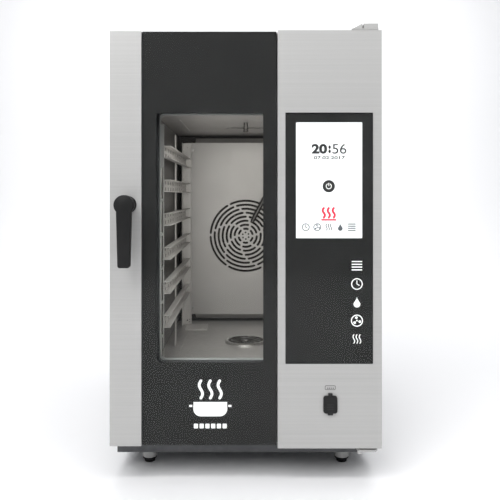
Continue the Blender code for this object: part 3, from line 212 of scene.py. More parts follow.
def make_materials():
    steel = ((0.408, 0.405, 0.398), (0.446, 0.443, 0.435))
    brushed = (35.0, 35.0, 2600.0)
    finish_of(
        "brushed_steel", *steel, (0.40, 0.54), brushed, patch=(1.6, 1.6, 420.0), depth=0.000010,
        metallic=0.30
    )
    cavity = ((0.385, 0.370, 0.355), (0.450, 0.436, 0.420), (0.34, 0.52), (60.0, 60.0, 1800.0))
    inside = {"patch": (5.0, 5.0, 7.0), "depth": 0.000008, "metallic": 0.55}
    finish_of("cavity_steel", *cavity, **inside)
    shaded_lining = finish_of("liner_steel_painted_shade", *cavity, **inside)
    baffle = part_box("fan_baffle")[0].y
    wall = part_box("cavity_liner")[1].x - LINER_INSIDE
    # Painted shade: darker behind the air guide, where the fan chamber lies in shade, and on the side walls
    # behind the racks, so that gaps, slots and racks stand out.
    paint_shade_along(shaded_lining, "Y", baffle - 0.004, baffle + 0.020, 1.0, (0.030, 0.026, 0.023))
    paint_shade_along(shaded_lining, "X", wall - 0.0010, wall, 0.78, (0.085, 0.080, 0.075))
    # Painted light: the racks take a lighter copy of the cavity steel, so that they read as lit against the
    # walls.
    rack = ((0.520, 0.502, 0.482), (0.600, 0.583, 0.562), (0.34, 0.52), (60.0, 60.0, 1800.0))
    finish_of("rack_steel", *rack, patch=(5.0, 5.0, 7.0), depth=0.000008, metallic=0.45)
    # Heat tint darkened into painted shade: near black, so that the fan, element, shaft and drain cover disc
    # read as lying in shade.
    finish_of(
        "heat_tint_and_painted_shade_steel", (0.020, 0.018, 0.016), (0.050, 0.045, 0.040), (0.40, 0.60), 300.0,
        patch=30.0, depth=0.00001, metallic=0.5, edge=0.3, Specular_IOR_Level=0.2,
    )
    # Painted shade: the base pan's steel is near black for the shade under the cabinet.
    finish_of(
        "pan_steel_painted_shade", (0.075, 0.077, 0.080), (0.105, 0.107, 0.110), (0.40, 0.60), 90.0,
        patch=70.0, depth=0.00002, metallic=0.7,
    )
    finish_of(
        "galvanised", (0.30, 0.31, 0.32), (0.52, 0.53, 0.54), (0.34, 0.60), 90.0,
        patch=70.0, depth=0.00002, metallic=0.9,
    )
    finish_of(
        "polished_steel", (0.50, 0.49, 0.48), (0.60, 0.59, 0.58), (0.20, 0.34), 700.0,
        depth=0.000004, metallic=1.0, edge=0.3,
    )
    finish_of(
        "cast_aluminium", (0.40, 0.40, 0.39), (0.55, 0.55, 0.54), (0.42, 0.66), 1500.0,
        patch=40.0, depth=0.00006, metallic=0.9, edge=0.4,
    )
    finish_of(
        "black_plastic", (0.0085, 0.0085, 0.0088), (0.0125, 0.0125, 0.0125), (0.36, 0.52), 1700.0,
        patch=30.0, depth=0.00003, edge=0.35, Specular_IOR_Level=0.12,
    )
    finish_of(
        "cover_rubber", (0.010, 0.010, 0.010), (0.016, 0.016, 0.016), (0.55, 0.75), 1300.0,
        patch=60.0, depth=0.00002, edge=0.4, Specular_IOR_Level=0.2,
    )
    finish_of(
        "black_glass", (0.0175, 0.0175, 0.0173), (0.0205, 0.0205, 0.0203), (0.06, 0.12), 25.0,
        patch=12.0, depth=0.0000008, Specular_IOR_Level=0.05,
    )
    finish_of(
        "silicone", (0.020, 0.020, 0.021), (0.036, 0.036, 0.037), (0.48, 0.66), 900.0,
        patch=35.0, depth=0.00002, edge=0.3,
    )
    finish_of(
        "mineral_wool", (0.40, 0.33, 0.19), (0.62, 0.54, 0.36), (0.85, 1.0), 420.0,
        patch=90.0, depth=0.0012, detail=8.0, Sheen_Weight=0.3,
    )
    finish_of(
        "circuit_board", (0.010, 0.085, 0.040), (0.020, 0.130, 0.062), (0.30, 0.55), 800.0,
        patch=160.0, depth=0.00004, edge=0.2,
    )
    finish_of(
        "grey_plastic", (0.17, 0.17, 0.175), (0.23, 0.23, 0.235), (0.42, 0.58), 1500.0,
        patch=40.0, depth=0.00002, edge=0.3,
    )
    # Dark steel: the transformer core is really dark. On the polished humidifier tube, wash stem, spray rotor
    # and drain knob it is a painted dark reflection.
    finish_of(
        "dark_steel_and_painted_reflection", (0.055, 0.052, 0.050), (0.10, 0.096, 0.09), (0.30, 0.5), 500.0,
        patch=50.0, depth=0.00001, metallic=0.9, edge=0.5,
    )
    finish_of(
        "print_white", (0.84, 0.84, 0.83), (0.92, 0.92, 0.91), (0.35, 0.5), 700.0, depth=0.000002
    )
    finish_of(
        "copper", (0.55, 0.24, 0.10), (0.72, 0.36, 0.18), (0.28, 0.45), 900.0, depth=0.00001,
        metallic=1.0,
    )
    finish_of(
        "wire_blue", (0.03, 0.10, 0.36), (0.05, 0.15, 0.45), (0.38, 0.5), 900.0, depth=0.00001
    )
    lit("display", (0.88, 0.89, 0.90), (0.93, 0.94, 0.95), 0.10)
    lit("screen_black", (0.004, 0.004, 0.004), (0.010, 0.010, 0.010), 0.02)
    lit("screen_grey", (0.055, 0.060, 0.068), (0.075, 0.080, 0.090), 0.15)
    lit("screen_crimson", (0.44, 0.008, 0.030), (0.52, 0.014, 0.042), 0.45)
    clear_glass("clear_glass")


# ---------------------------------------------------------------- modelling helpers

# A point is (x, depth, z): depth runs from the door's front face towards the rear.


def y_at(depth):
    return FRONT_Y + depth


def place(name, data, finish):
    made = bpy.data.objects.new(name, data)
    bpy.context.scene.collection.objects.link(made)
    if finish:
        data.materials.append(MATERIALS[finish])
    return made


def settle(obj):
    """Applies an object's modifiers and placement, so that its mesh lies in the row frame."""
    bpy.context.view_layer.update()
    graph = bpy.context.evaluated_depsgraph_get()
    mesh = bpy.data.meshes.new_from_object(obj.evaluated_get(graph))
    mesh.transform(obj.matrix_world)
    name, old = obj.name, obj.data
    kept = list(old.materials)
    bpy.data.objects.remove(obj, do_unlink=True)
    made = bpy.data.objects.new(name, mesh)
    bpy.context.scene.collection.objects.link(made)
    mesh.materials.clear()
    for finish in kept:
        mesh.materials.append(finish)
    return made


def weld(mesh, distance=1e-6):
    shape = bmesh.new()
    shape.from_mesh(mesh)
    bmesh.ops.remove_doubles(shape, verts=shape.verts, dist=distance)
    bmesh.ops.recalc_face_normals(shape, faces=shape.faces)
    shape.to_mesh(mesh)
    shape.free()


def soften(obj, width, segments=2, angle=32):
    """Rounds an object's edges."""
    rounding = obj.modifiers.new("rounded_edges", "BEVEL")
    rounding.width = width
    rounding.segments = segments
    rounding.limit_method = "ANGLE"
    rounding.angle_limit = radians(angle)
    return obj


def block(name, low, high, finish, bevel=0.0, segments=2):
    """A block between two points."""
    first = Vector((low[0], y_at(low[1]), low[2]))
    last = Vector((high[0], y_at(high[1]), high[2]))
    shape = bmesh.new()
    place_at = Matrix.Translation((first + last) / 2) @ Matrix.Diagonal((*(last - first), 1.0))
    bmesh.ops.create_cube(shape, size=1.0, matrix=place_at)
    mesh = bpy.data.meshes.new(name)
    shape.to_mesh(mesh)
    shape.free()
    made = place(name, mesh, finish)
    if bevel:
        soften(made, bevel, segments)
    return made


TURNS = {"X": (pi / 2, 0.0, pi / 2), "Y": (pi / 2, 0.0, 0.0), "Z": (0.0, 0.0, 0.0)}


def plate(name, loops, facing, span, finish, bevel=0.0, segments=2):
    """An outline with holes, extruded along the facing axis between the two values of span.

    Outlines are (depth, z) for X, (x, z) for Y and (x, depth) for Z.
    """
    curve = bpy.data.curves.new(name, "CURVE")
    curve.dimensions = "2D"
    curve.fill_mode = "BOTH"
    curve.extrude = (span[1] - span[0]) / 2
    shift = {"X": (FRONT_Y, 0.0), "Y": (0.0, 0.0), "Z": (0.0, FRONT_Y)}[facing]
    for loop in loops:
        spline = curve.splines.new("POLY")
        spline.points.add(len(loop) - 1)
        for point, (across, up) in zip(spline.points, loop):
            point.co = (across + shift[0], up + shift[1], 0.0, 1.0)
        spline.use_cyclic_u = True
    middle = (span[0] + span[1]) / 2
    made = place(name, curve, finish)
    made.rotation_euler = TURNS[facing]
    made.location = {"X": (middle, 0, 0), "Y": (0, y_at(middle), 0), "Z": (0, 0, middle)}[facing]
    made = settle(made)
    weld(made.data)
    if bevel:
        soften(made, bevel, segments)
    return made


def turned(name, profile, centre, axis, finish, steps=48, smooth=35):
    """A body turned from (radius, height) points about an axis through centre."""
    rows = []
    shape = bmesh.new()
    for radius, height in profile:
        if radius < 1e-7:
            rows.append([shape.verts.new((0, 0, height))] * steps)
        else:
            rows.append([
                shape.verts.new(
                    (radius * cos(2 * pi * i / steps), radius * sin(2 * pi * i / steps), height)
                )
                for i in range(steps)
            ])
    pairs = list(zip(rows, rows[1:]))
    if profile[0][0] > 1e-7:
        pairs.append((rows[-1], rows[0]))
    for near, far in pairs:
        for i in range(steps):
            corners = [near[i], near[(i + 1) % steps], far[(i + 1) % steps], far[i]]
            unique = list(dict.fromkeys(corners))
            if len(unique) > 2:
                shape.faces.new(unique)
    bmesh.ops.recalc_face_normals(shape, faces=shape.faces)
    turn = {
        "X": Matrix.Rotation(pi / 2, 4, "Y"), "Y": Matrix.Rotation(-pi / 2, 4, "X"), "Z": Matrix.Identity(4)
    }[axis]
    bmesh.ops.transform(
        shape, matrix=Matrix.Translation((centre[0], y_at(centre[1]), centre[2])) @ turn, verts=shape.verts
    )
    mesh = bpy.data.meshes.new(name)
    shape.to_mesh(mesh)
    shape.free()
    made = place(name, mesh, finish)
    round_off(made, smooth)
    return made


def round_off(obj, angle=35):
    """Smooth shading that keeps edges sharper than the angle crisp."""
    shape = bmesh.new()
    shape.from_mesh(obj.data)
    for face in shape.faces:
        face.smooth = True
    for edge in shape.edges:
        if len(edge.link_faces) == 2:
            edge.smooth = edge.calc_face_angle(0.0) < radians(angle)
    shape.to_mesh(obj.data)
    shape.free()
    return obj


def pipe(name, points, radius, finish, closed=False, detail=4, smooth_path=False):
    """A round tube or wire along points."""
    curve = bpy.data.curves.new(name, "CURVE")
    curve.dimensions = "3D"
    curve.bevel_depth = radius
    curve.bevel_resolution = detail
    curve.use_fill_caps = not closed
    spline = curve.splines.new("NURBS" if smooth_path else "POLY")
    spline.points.add(len(points) - 1)
    for point, (x, depth, z) in zip(spline.points, points):
        point.co = (x, y_at(depth), z, 1.0)
    spline.use_cyclic_u = closed
    if smooth_path:
        spline.use_endpoint_u = not closed
        spline.order_u = 4
        curve.resolution_u = 8
    made = settle(place(name, curve, finish))
    return round_off(made, 40)


def merge(name, pieces):
    """Several objects as one piece; each keeps its own finish."""
    settled = [settle(piece) if piece.modifiers else piece for piece in pieces]
    shape = bmesh.new()
    finishes = []
    for piece in settled:
        index = []
        for finish in piece.data.materials:
            if finish not in finishes:
                finishes.append(finish)
            index.append(finishes.index(finish))
        count = len(shape.faces)
        shape.from_mesh(piece.data)
        shape.faces.ensure_lookup_table()
        for face in shape.faces[count:]:
            face.material_index = index[face.material_index] if index else 0
    mesh = bpy.data.meshes.new(name)
    shape.to_mesh(mesh)
    shape.free()
    for finish in finishes:
        mesh.materials.append(finish)
    for piece in settled:
        bpy.data.objects.remove(piece, do_unlink=True)
    made = bpy.data.objects.new(name, mesh)
    bpy.context.scene.collection.objects.link(made)
    return made


def cut(target, *tools):
    """Takes the tools' shapes out of the target."""
    for tool in tools:
        step = target.modifiers.new("cut", "BOOLEAN")
        step.operation = "DIFFERENCE"
        step.solver = "EXACT"
        step.object = tool
    done = settle(target)
    for tool in tools:
        bpy.data.objects.remove(tool, do_unlink=True)
    return done


def arc(centre, radius, start, end, steps):
    turn = radians(end - start) / steps
    first = radians(start)
    return [
        (centre[0] + radius * cos(first + turn * i), centre[1] + radius * sin(first + turn * i))
        for i in range(steps + 1)
    ]


def on_circle(centre, radius, angle):
    return (centre[0] + radius * cos(radians(angle)), centre[1] + radius * sin(radians(angle)))


def circle(centre, radius, steps=32):
    return arc(centre, radius, 0, 360, steps)[:-1]


def rectangle(left, low, right, high):
    return [(left, low), (right, low), (right, high), (left, high)]


def rounded(left, low, right, high, radius, steps=6):
    points = []
    for centre, start in (
        ((left + radius, low + radius), 180), ((right - radius, low + radius), 270),
        ((right - radius, high - radius), 0), ((left + radius, high - radius), 90),
    ):
        points += arc(centre, radius, start, start + 90, steps)
    return points


def ring_slot(centre, radius, width, start, end, steps):
    """A slot that follows a circle, with round ends."""
    half = width / 2
    outer = arc(centre, radius + half, start, end, steps)
    inner = arc(centre, radius - half, end, start, steps)
    last = arc(on_circle(centre, radius, end), half, end, end + 180, 4)[1:-1]
    first = arc(on_circle(centre, radius, start), half, start + 180, start + 360, 4)[1:-1]
    return outer + last + inner + first


def fit(piece, body, finish, *nodes):
    """Ties a finished piece to its body and hides the solids that it stands for. The finish argument is not
    used.
    """
    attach(piece, body)
    if nodes:
        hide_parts(*nodes)
    return piece


def screw_head(name, centre, axis, radius, finish="polished_steel", out=-1, height=None):
    """A low domed screw head with a six-lobed socket. out is the way it faces along its axis."""
    height = height or radius * 0.55
    rim = radius * 0.55
    dome = [
        (0.0, height * 0.55), (rim * 0.75, height * 0.55), (rim * 0.85, height * 0.98), (rim, height),
        (radius * 0.82, height * 0.80), (radius * 0.97, height * 0.35), (radius, 0.0), (0.0, 0.0),
    ]
    profile = [(r, h * out) for r, h in dome]
    return turned(name, profile, centre, axis, finish, 24)


# ---------------------------------------------------------------- cabinet


ROUND_NODES = {
    "strike_cup", "heating_element", "humidifier_tube", "wash_stem", "hinge_pin_top", "hinge_pin_bottom",
    "handle_spindle", "fan_impeller", "motor_shaft", "cooling_fan_rotor",
}
CAD_FINISHES = {
    "rear_panel": "brushed_steel",
    "cavity_liner": "liner_steel_painted_shade",
    # Behind the air guide: heat tint with painted shade.
    "fan_impeller": "heat_tint_and_painted_shade_steel",
    "heating_element": "heat_tint_and_painted_shade_steel",
    "motor_shaft": "heat_tint_and_painted_shade_steel",
    # The humidifier tube and wash stem are polished steel. Their dark colour is a painted reflection.
    "humidifier_tube": "dark_steel_and_painted_reflection",
    "wash_stem": "dark_steel_and_painted_reflection",
    "base_pan": "pan_steel_painted_shade",
    "door_pan": "brushed_steel",
}


def dress_cad_nodes():
    """Gives every CAD solid its finish and slightly rounded edges."""
    fine = {"motor_shaft", "humidifier_tube"}
    crisp = {"control_housing"}
    for name, node in NODES.items():
        finish = CAD_FINISHES.get(name, SLOTS[name])
        node.data.materials.clear()
        node.data.materials.append(MATERIALS[finish])
        seam = node.modifiers.new("seams", "WELD")
        seam.merge_threshold = 0.00001
        if name not in crisp:
            rounding = node.modifiers.new("rounded_edges", "BEVEL")
            rounding.width = FINE_ROUNDING if name in fine else EDGE_ROUNDING
            rounding.segments = 2
            rounding.limit_method = "ANGLE"
            rounding.angle_limit = radians(38)
        for face in node.data.polygons:
            face.use_smooth = name in ROUND_NODES
        if name in ROUND_NODES:
            level = node.modifiers.new("flat_ends", "WEIGHTED_NORMAL")
            level.keep_sharp = True
            level.weight = 100


def make_floor_and_light():
    """A pale floor that curves up into a backdrop, soft lamps and the camera."""
    scene = bpy.context.scene
    rows = [(-3.5, 0.0), (3.2, 0.0)] + [
        (3.2 + 1.6 * sin(radians(a)), 1.6 - 1.6 * cos(radians(a))) for a in range(9, 91, 9)
    ] + [(4.8, 5.0)]
    shape = bmesh.new()
    pairs = [[shape.verts.new((x, y, z)) for x in (-6.0, 6.0)] for y, z in rows]
    for near, far in zip(pairs, pairs[1:]):
        shape.faces.new((near[0], near[1], far[1], far[0]))
    mesh = bpy.data.meshes.new("floor")
    shape.to_mesh(mesh)
    shape.free()
    for face in mesh.polygons:
        face.use_smooth = True
    floor = place("floor", mesh, "")
    pale = bpy.data.materials.new("pale_floor")
    pale.use_nodes = True
    pale.node_tree.nodes["Principled BSDF"].inputs["Base Color"].default_value = (0.86, 0.86, 0.87, 1.0)
    pale.node_tree.nodes["Principled BSDF"].inputs["Roughness"].default_value = 0.55
    mesh.materials.append(pale)

    world = bpy.data.worlds.new("studio")
    scene.world = world
    world.use_nodes = True
    world.node_tree.nodes["Background"].inputs["Color"].default_value = (0.95, 0.97, 1.0, 1.0)
    world.node_tree.nodes["Background"].inputs["Strength"].default_value = 0.36

    def lamp(name, location, target, size, power, colour=(1.0, 1.0, 1.0)):
        data = bpy.data.lights.new(name, "AREA")
        data.shape = "RECTANGLE"
        data.size, data.size_y = size
        data.energy = power
        data.color = colour
        made = bpy.data.objects.new(name, data)
        scene.collection.objects.link(made)
        made.location = location
        made.rotation_euler = (Vector(target) - Vector(location)).to_track_quat("-Z", "Y").to_euler()
        return made

    lamp("key_light", (-1.5, -3.0, 2.9), (0.0, 0.0, 0.50), (2.6, 2.0), 88.0)
    lamp("fill_light", (2.2, -2.6, 2.2), (0.0, 0.0, 0.60), (1.8, 1.8), 14.0)
    lamp("front_floor_light", (0.0, -1.55, 2.4), (0.0, -1.75, 0.0), (3.6, 0.5), 40.0)
    lamp("top_light", (0.2, 1.0, 3.1), (0.0, 1.0, 0.0), (3.0, 3.0), 60.0)
    lamp("backdrop_light", (0.0, 2.2, 2.9), (0.0, 4.8, 1.3), (4.0, 0.8), 90.0)
    warm = (1.0, 0.97, 0.94)
    lamp("cavity_light", (0.0, y_at(0.098), 0.470), (0.0, y_at(0.60), 0.470), (0.22, 0.46), 0.66, warm)
    lamp("ceiling_light", (0.0, y_at(0.165), 0.714), (0.0, y_at(0.255), 0.430), (0.24, 0.10), 0.46, warm)

    data = bpy.data.cameras.new("camera")
    camera = bpy.data.objects.new("camera", data)
    scene.collection.objects.link(camera)
    camera.location = (0.0, FRONT_Y - CAMERA_DISTANCE, CAMERA_HEIGHT)
    camera.rotation_euler = (pi / 2, 0.0, 0.0)
    data.sensor_width = 36.0
    data.lens = CAMERA_LENS
    data.shift_x, data.shift_y = CAMERA_SHIFT
    data.clip_end = 40.0
    scene.camera = camera
    scene.view_settings.view_transform = "Standard"


# ---------------------------------------------------------------- printed marks


def stroke(points, width, closed=False):
    """The outlines of an even line through (x, z) points: two loops if closed, else one with round ends."""
    half = width / 2
    count = len(points)
    sides = [[], []]
    for i, point in enumerate(points):
        before = Vector(points[i - 1]) if closed or i else Vector(point)
        after = Vector(points[(i + 1) % count]) if closed or i < count - 1 else Vector(point)
        along = (after - before).normalized()
        across = Vector((-along.y, along.x)) * half
        sides[0].append(tuple(Vector(point) + across))
        sides[1].append(tuple(Vector(point) - across))
    if closed:
        return [sides[0], sides[1]]
    first = degrees((Vector(points[1]) - Vector(points[0])).angle_signed(Vector((1, 0))))
    last = degrees((Vector(points[-1]) - Vector(points[-2])).angle_signed(Vector((1, 0))))
    start_cap = arc(points[0], half, first + 270, first + 90, 6)[1:-1]
    end_cap = arc(points[-1], half, last + 90, last - 90, 6)[1:-1]
    return [sides[0] + end_cap + sides[1][::-1] + start_cap]


def wave(centre, height, sway, steps=14):
    """Points of an upright wavy line, like rising steam."""
    return [
        (centre[0] + sway * sin(2 * pi * i / steps), centre[1] - height / 2 + height * i / steps)
        for i in range(steps + 1)
    ]


def symbol(kind, centre, size, weight=0.085):
    """Outlines of a plain pictogram, as separate groups of loops that don't overlap."""
    x, z = centre
    half = size / 2
    line = size * weight
    if kind == "steam":
        return [
            stroke(wave((x + dx * size, z), size * 0.78, size * 0.075), line) for dx in (-0.28, 0.0, 0.28)
        ]
    if kind == "fan":
        groups = [stroke(circle(centre, half - line / 2, 40), line, True), [circle(centre, line * 0.8, 16)]]
        for blade in range(3):
            turn = 90 + 120 * blade
            petal = [on_circle(centre, half * 0.22, turn)]
            petal += arc(on_circle(centre, half * 0.48, turn + 10), half * 0.24, turn - 70, turn + 110, 8)
            groups.append([petal])
        return groups
    if kind == "drop":
        side = [(x, z + half)]
        side += [
            (
                x + size * 0.30 * sin(radians(a)) * (a / 110), z + half - size * 0.62 * a / 110
            ) for a in (30, 60, 90)
        ]
        round_end = arc((x, z - size * 0.16), size * 0.31, 15, -195, 16)
        mirror = [(2 * x - px, pz) for px, pz in side[:0:-1]]
        return [[side + round_end + mirror]]
    if kind == "timer":
        groups = [stroke(circle(centre, half - line / 2, 40), line, True)]
        groups.append(stroke([(x, z + half * 0.55), (x, z), (x + half * 0.38, z - half * 0.22)], line))
        return groups
    if kind == "grid":
        return [
            [
                rectangle(x - half, z + size * k - line * 0.6, x + half, z + size * k + line * 0.6)
            ] for k in (-0.4, -0.13, 0.13, 0.4)
        ]
    if kind == "power":
        gap = 32
        groups = [stroke(arc(centre, half * 0.52, 90 + gap, 450 - gap, 28), line * 1.2)]
        groups.append(stroke([(x, z + half * 0.62), (x, z + half * 0.12)], line * 1.2))
        return groups
    return [[rounded(x - half, z - half, x + half, z + half, size * 0.2)]]


def printed(name, groups, span, finish, body, record_slot):
    """Printed marks as one thin piece between two depths."""
    parts = [plate(f"{name}_{i}", loops, "Y", span, finish) for i, loops in enumerate(groups)]
    return fit(merge(name, parts), body, record_slot)


def lettering(name, words, centre, size, span, finish, weight=0.0):
    """Numerals of a given width and height, centred on an (x, z) point, between two depths."""
    curve = bpy.data.curves.new(name, "FONT")
    curve.body = words
    curve.size = size[1]
    curve.offset = weight
    curve.extrude = (span[1] - span[0]) / 2
    made = settle(place(name, curve, finish))
    corners = [v.co for v in made.data.vertices]
    low = Vector((min(c.x for c in corners), min(c.y for c in corners), 0.0))
    high = Vector((max(c.x for c in corners), max(c.y for c in corners), 0.0))
    grown = Matrix.Diagonal((size[0] / (high.x - low.x), size[1] / (high.y - low.y), 1.0, 1.0))
    turn = Matrix.Rotation(pi / 2, 4, "X")
    home = Matrix.Translation((centre[0], y_at((span[0] + span[1]) / 2), centre[1]))
    made.data.transform(home @ turn @ grown @ Matrix.Translation(-(low + high) / 2))
    return made


# ---------------------------------------------------------------- door


def glazed(name, outline, front, back, body, node, corner, window=None, window_corner=0.008):
    """A clear pane with ground edges and, if it has a window, black enamel on its back round that."""
    left, low_edge, right, high_edge = outline
    enamel = 0.0002 if window else 0.0
    pane = plate(
        f"{name}_pane", [
            rounded(left, low_edge, right, high_edge, corner)
        ], "Y", (front, back - 2 * enamel),
        "clear_glass", 0.0006, 2,
    )
    fit(pane, body, "clear_glass", node)
    if window:
        loops = [rounded(left, low_edge, right, high_edge, corner), rounded(*window, window_corner)]
        black = plate(f"{name}_print", loops, "Y", (back - enamel, back), "black_glass")
        fit(black, body, "black_glass")


def make_glass():
    outer_low, outer_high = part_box("outer_glass")
    outer = (GLASS_LEFT, GLASS_LOW, GLASS_RIGHT, GLASS_HIGH)
    glazed(
        "outer_glass", outer, outer_low.y - FRONT_Y, outer_high.y - FRONT_Y, "door", "outer_glass", 0.0022,
        WINDOW, 0.004,
    )
    inner_low, inner_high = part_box("inner_glass")
    glazed(
        "inner_glass", (inner_low.x, inner_low.z, inner_high.x, inner_high.z), inner_low.y - FRONT_Y,
        inner_high.y - FRONT_Y, "door", "inner_glass", 0.006,
    )
    panel_low, panel_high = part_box("control_glass")
    rim_x, rim_z = SCREEN_RIM
    screen = (SCREEN_LOW.x + rim_x, SCREEN_LOW.z + rim_z, SCREEN_HIGH.x - rim_x, SCREEN_HIGH.z - rim_z)
    glazed(
        "control_glass", (panel_low.x, panel_low.z, panel_high.x, panel_high.z), panel_low.y - FRONT_Y,
        panel_high.y - FRONT_Y, "door", "control_glass", 0.0015, screen, 0.0006,
    )


def make_door_marks():
    """White marks between glass and enamel: a cooking pot with steam on the door, five modes on the panel."""
    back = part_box("outer_glass")[1].y - FRONT_Y
    span = tuple(back - inset for inset in PRINT_SPAN)
    x, z = -0.0677, 0.1652
    groups = [stroke(wave((x + dx, z + 0.017), 0.033, 0.0032, 18), 0.0052) for dx in (-0.018, 0.0, 0.018)]
    pot = [(x - 0.032, z - 0.007), (x + 0.032, z - 0.007)]
    pot += arc((x + 0.018, z - 0.020), 0.0145, 0, -90, 8) + arc(
        (x - 0.018, z - 0.020), 0.0145, -90, -180, 8
    )
    groups.append([pot])
    for side in (-1, 1):
        handle = [
            (x + side * 0.0345, z - 0.0125), (x + side * 0.0405, z - 0.0125),
            (x + side * 0.0405, z - 0.0165), (x + side * 0.0345, z - 0.0165)
        ]
        groups.append([handle])
    for dash in range(6):
        left = x - 0.0315 + dash * 0.0110
        groups.append([rounded(left, z - 0.0575, left + 0.0080, z - 0.0485, 0.0014)])
    printed("door_marks", groups, span, "print_white", "door", "clear_glass")

    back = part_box("control_glass")[1].y - FRONT_Y
    span = tuple(back - inset for inset in PRINT_SPAN)
    groups = []
    for row, (kind, size) in enumerate(
        (("steam", 0.021), ("fan", 0.023), ("drop", 0.021), ("timer", 0.022), ("grid", 0.020))
    ):
        groups += symbol(kind, (0.2125, 0.2790 + row * 0.0350), size)
    printed("mode_marks", groups, span, "print_white", "door", "clear_glass")

    port = [[*stroke(rounded(0.1515, 0.1830, 0.1707, 0.1905, 0.0012), 0.0009, True)]]
    port += [[rectangle(0.1550 + n * 0.0036, 0.1850, 0.1571 + n * 0.0036, 0.1868)] for n in range(4)]
    printed("port_mark", port, (-0.00012, 0.00002), "screen_black", "door", "black_plastic")


def make_display():
    """The lit screen: housing, backlit face, clock, date, power key, an oven symbol and a row of keys."""
    low, high = SCREEN_LOW, SCREEN_HIGH
    front, back = low.y - FRONT_Y, high.y - FRONT_Y
    frame_width = 0.0022
    case = plate(
        "display_case",
        [rounded(low.x, low.z, high.x, high.z, 0.001),
         rounded(
             low.x + frame_width, low.z + frame_width, high.x - frame_width, high.z - frame_width, 0.0008,
         )],
        "Y", (front + 0.0012, back - 0.0022), "grey_plastic", 0.0003,
    )
    lid = plate(
        "display_back", [rounded(low.x, low.z, high.x, high.z, 0.001)], "Y", (back - 0.0022, back - 0.0006),
        "galvanised", 0.0004
    )
    parts = [case, lid]
    for n in range(5):
        left = low.x + 0.012 + n * 0.0215
        parts.append(
            block(
                f"display_rib_{n}", (left, back - 0.0006, low.z + 0.012),
                (left + 0.012, back, high.z - 0.012), "galvanised", 0.0003
            )
        )
    fit(merge("display_housing", parts), "door", "display", "display_module")
    face = plate(
        "display_face", [rounded(low.x, low.z, high.x, high.z, 0.0008)], "Y",
        (front + 0.0002, front + 0.0011), "display", 0.0001
    )
    fit(face, "door", "display")
    span = (front, front + 0.0002)
    middle = 0.1588
    hours = lettering("clock_hours", "20", (0.1408, 0.6423), (0.0300, 0.0190), span, "screen_black", 0.0009)
    colon = lettering("clock_colon", ":", (0.1604, 0.6415), (0.0048, 0.0150), span, "screen_black", 0.0014)
    minutes = lettering(
        "clock_minutes", "56", (0.1791, 0.6423), (0.0270, 0.0190), span, "screen_black", 0.0001
    )
    date = lettering(
        "clock_date", "07.02.2017", (0.1600, 0.6254), (0.0600, 0.0066), span, "screen_black", 0.0002
    )
    fit(merge("clock_digits", [hours, colon, minutes, date]), "door", "display")
    ring_mark = [circle((middle, 0.5708), 0.0118, 40)]
    disc = plate("power_disc", ring_mark, "Y", (front, front + 0.0002), "screen_black")
    sign = [
        plate(f"power_sign_{i}", loops, "Y", (front - 0.0001, front), "print_white") for i,
        loops in enumerate(symbol("power", (middle, 0.5708), 0.0190, 0.066))
    ]
    fit(merge("power_key", [disc, *sign]), "door", "display")
    flame = []
    for n, dx in enumerate((-0.0095, 0.0, 0.0095)):
        flame.append(stroke(wave((middle + dx, 0.5200), 0.0180, 0.0021, 14), 0.0042))
    base = [rounded(middle - 0.0145, 0.5050, middle + 0.0145, 0.5082, 0.0014)]
    printed("oven_symbol", [*flame, base], span, "screen_crimson", "door", "display")
    groups = []
    for n, kind in enumerate(("timer", "fan", "steam", "drop", "grid")):
        groups += symbol(kind, (middle - 0.0440 + n * 0.0220, 0.4925), 0.0150, 0.12)
    printed("key_row", groups, span, "screen_grey", "door", "display")


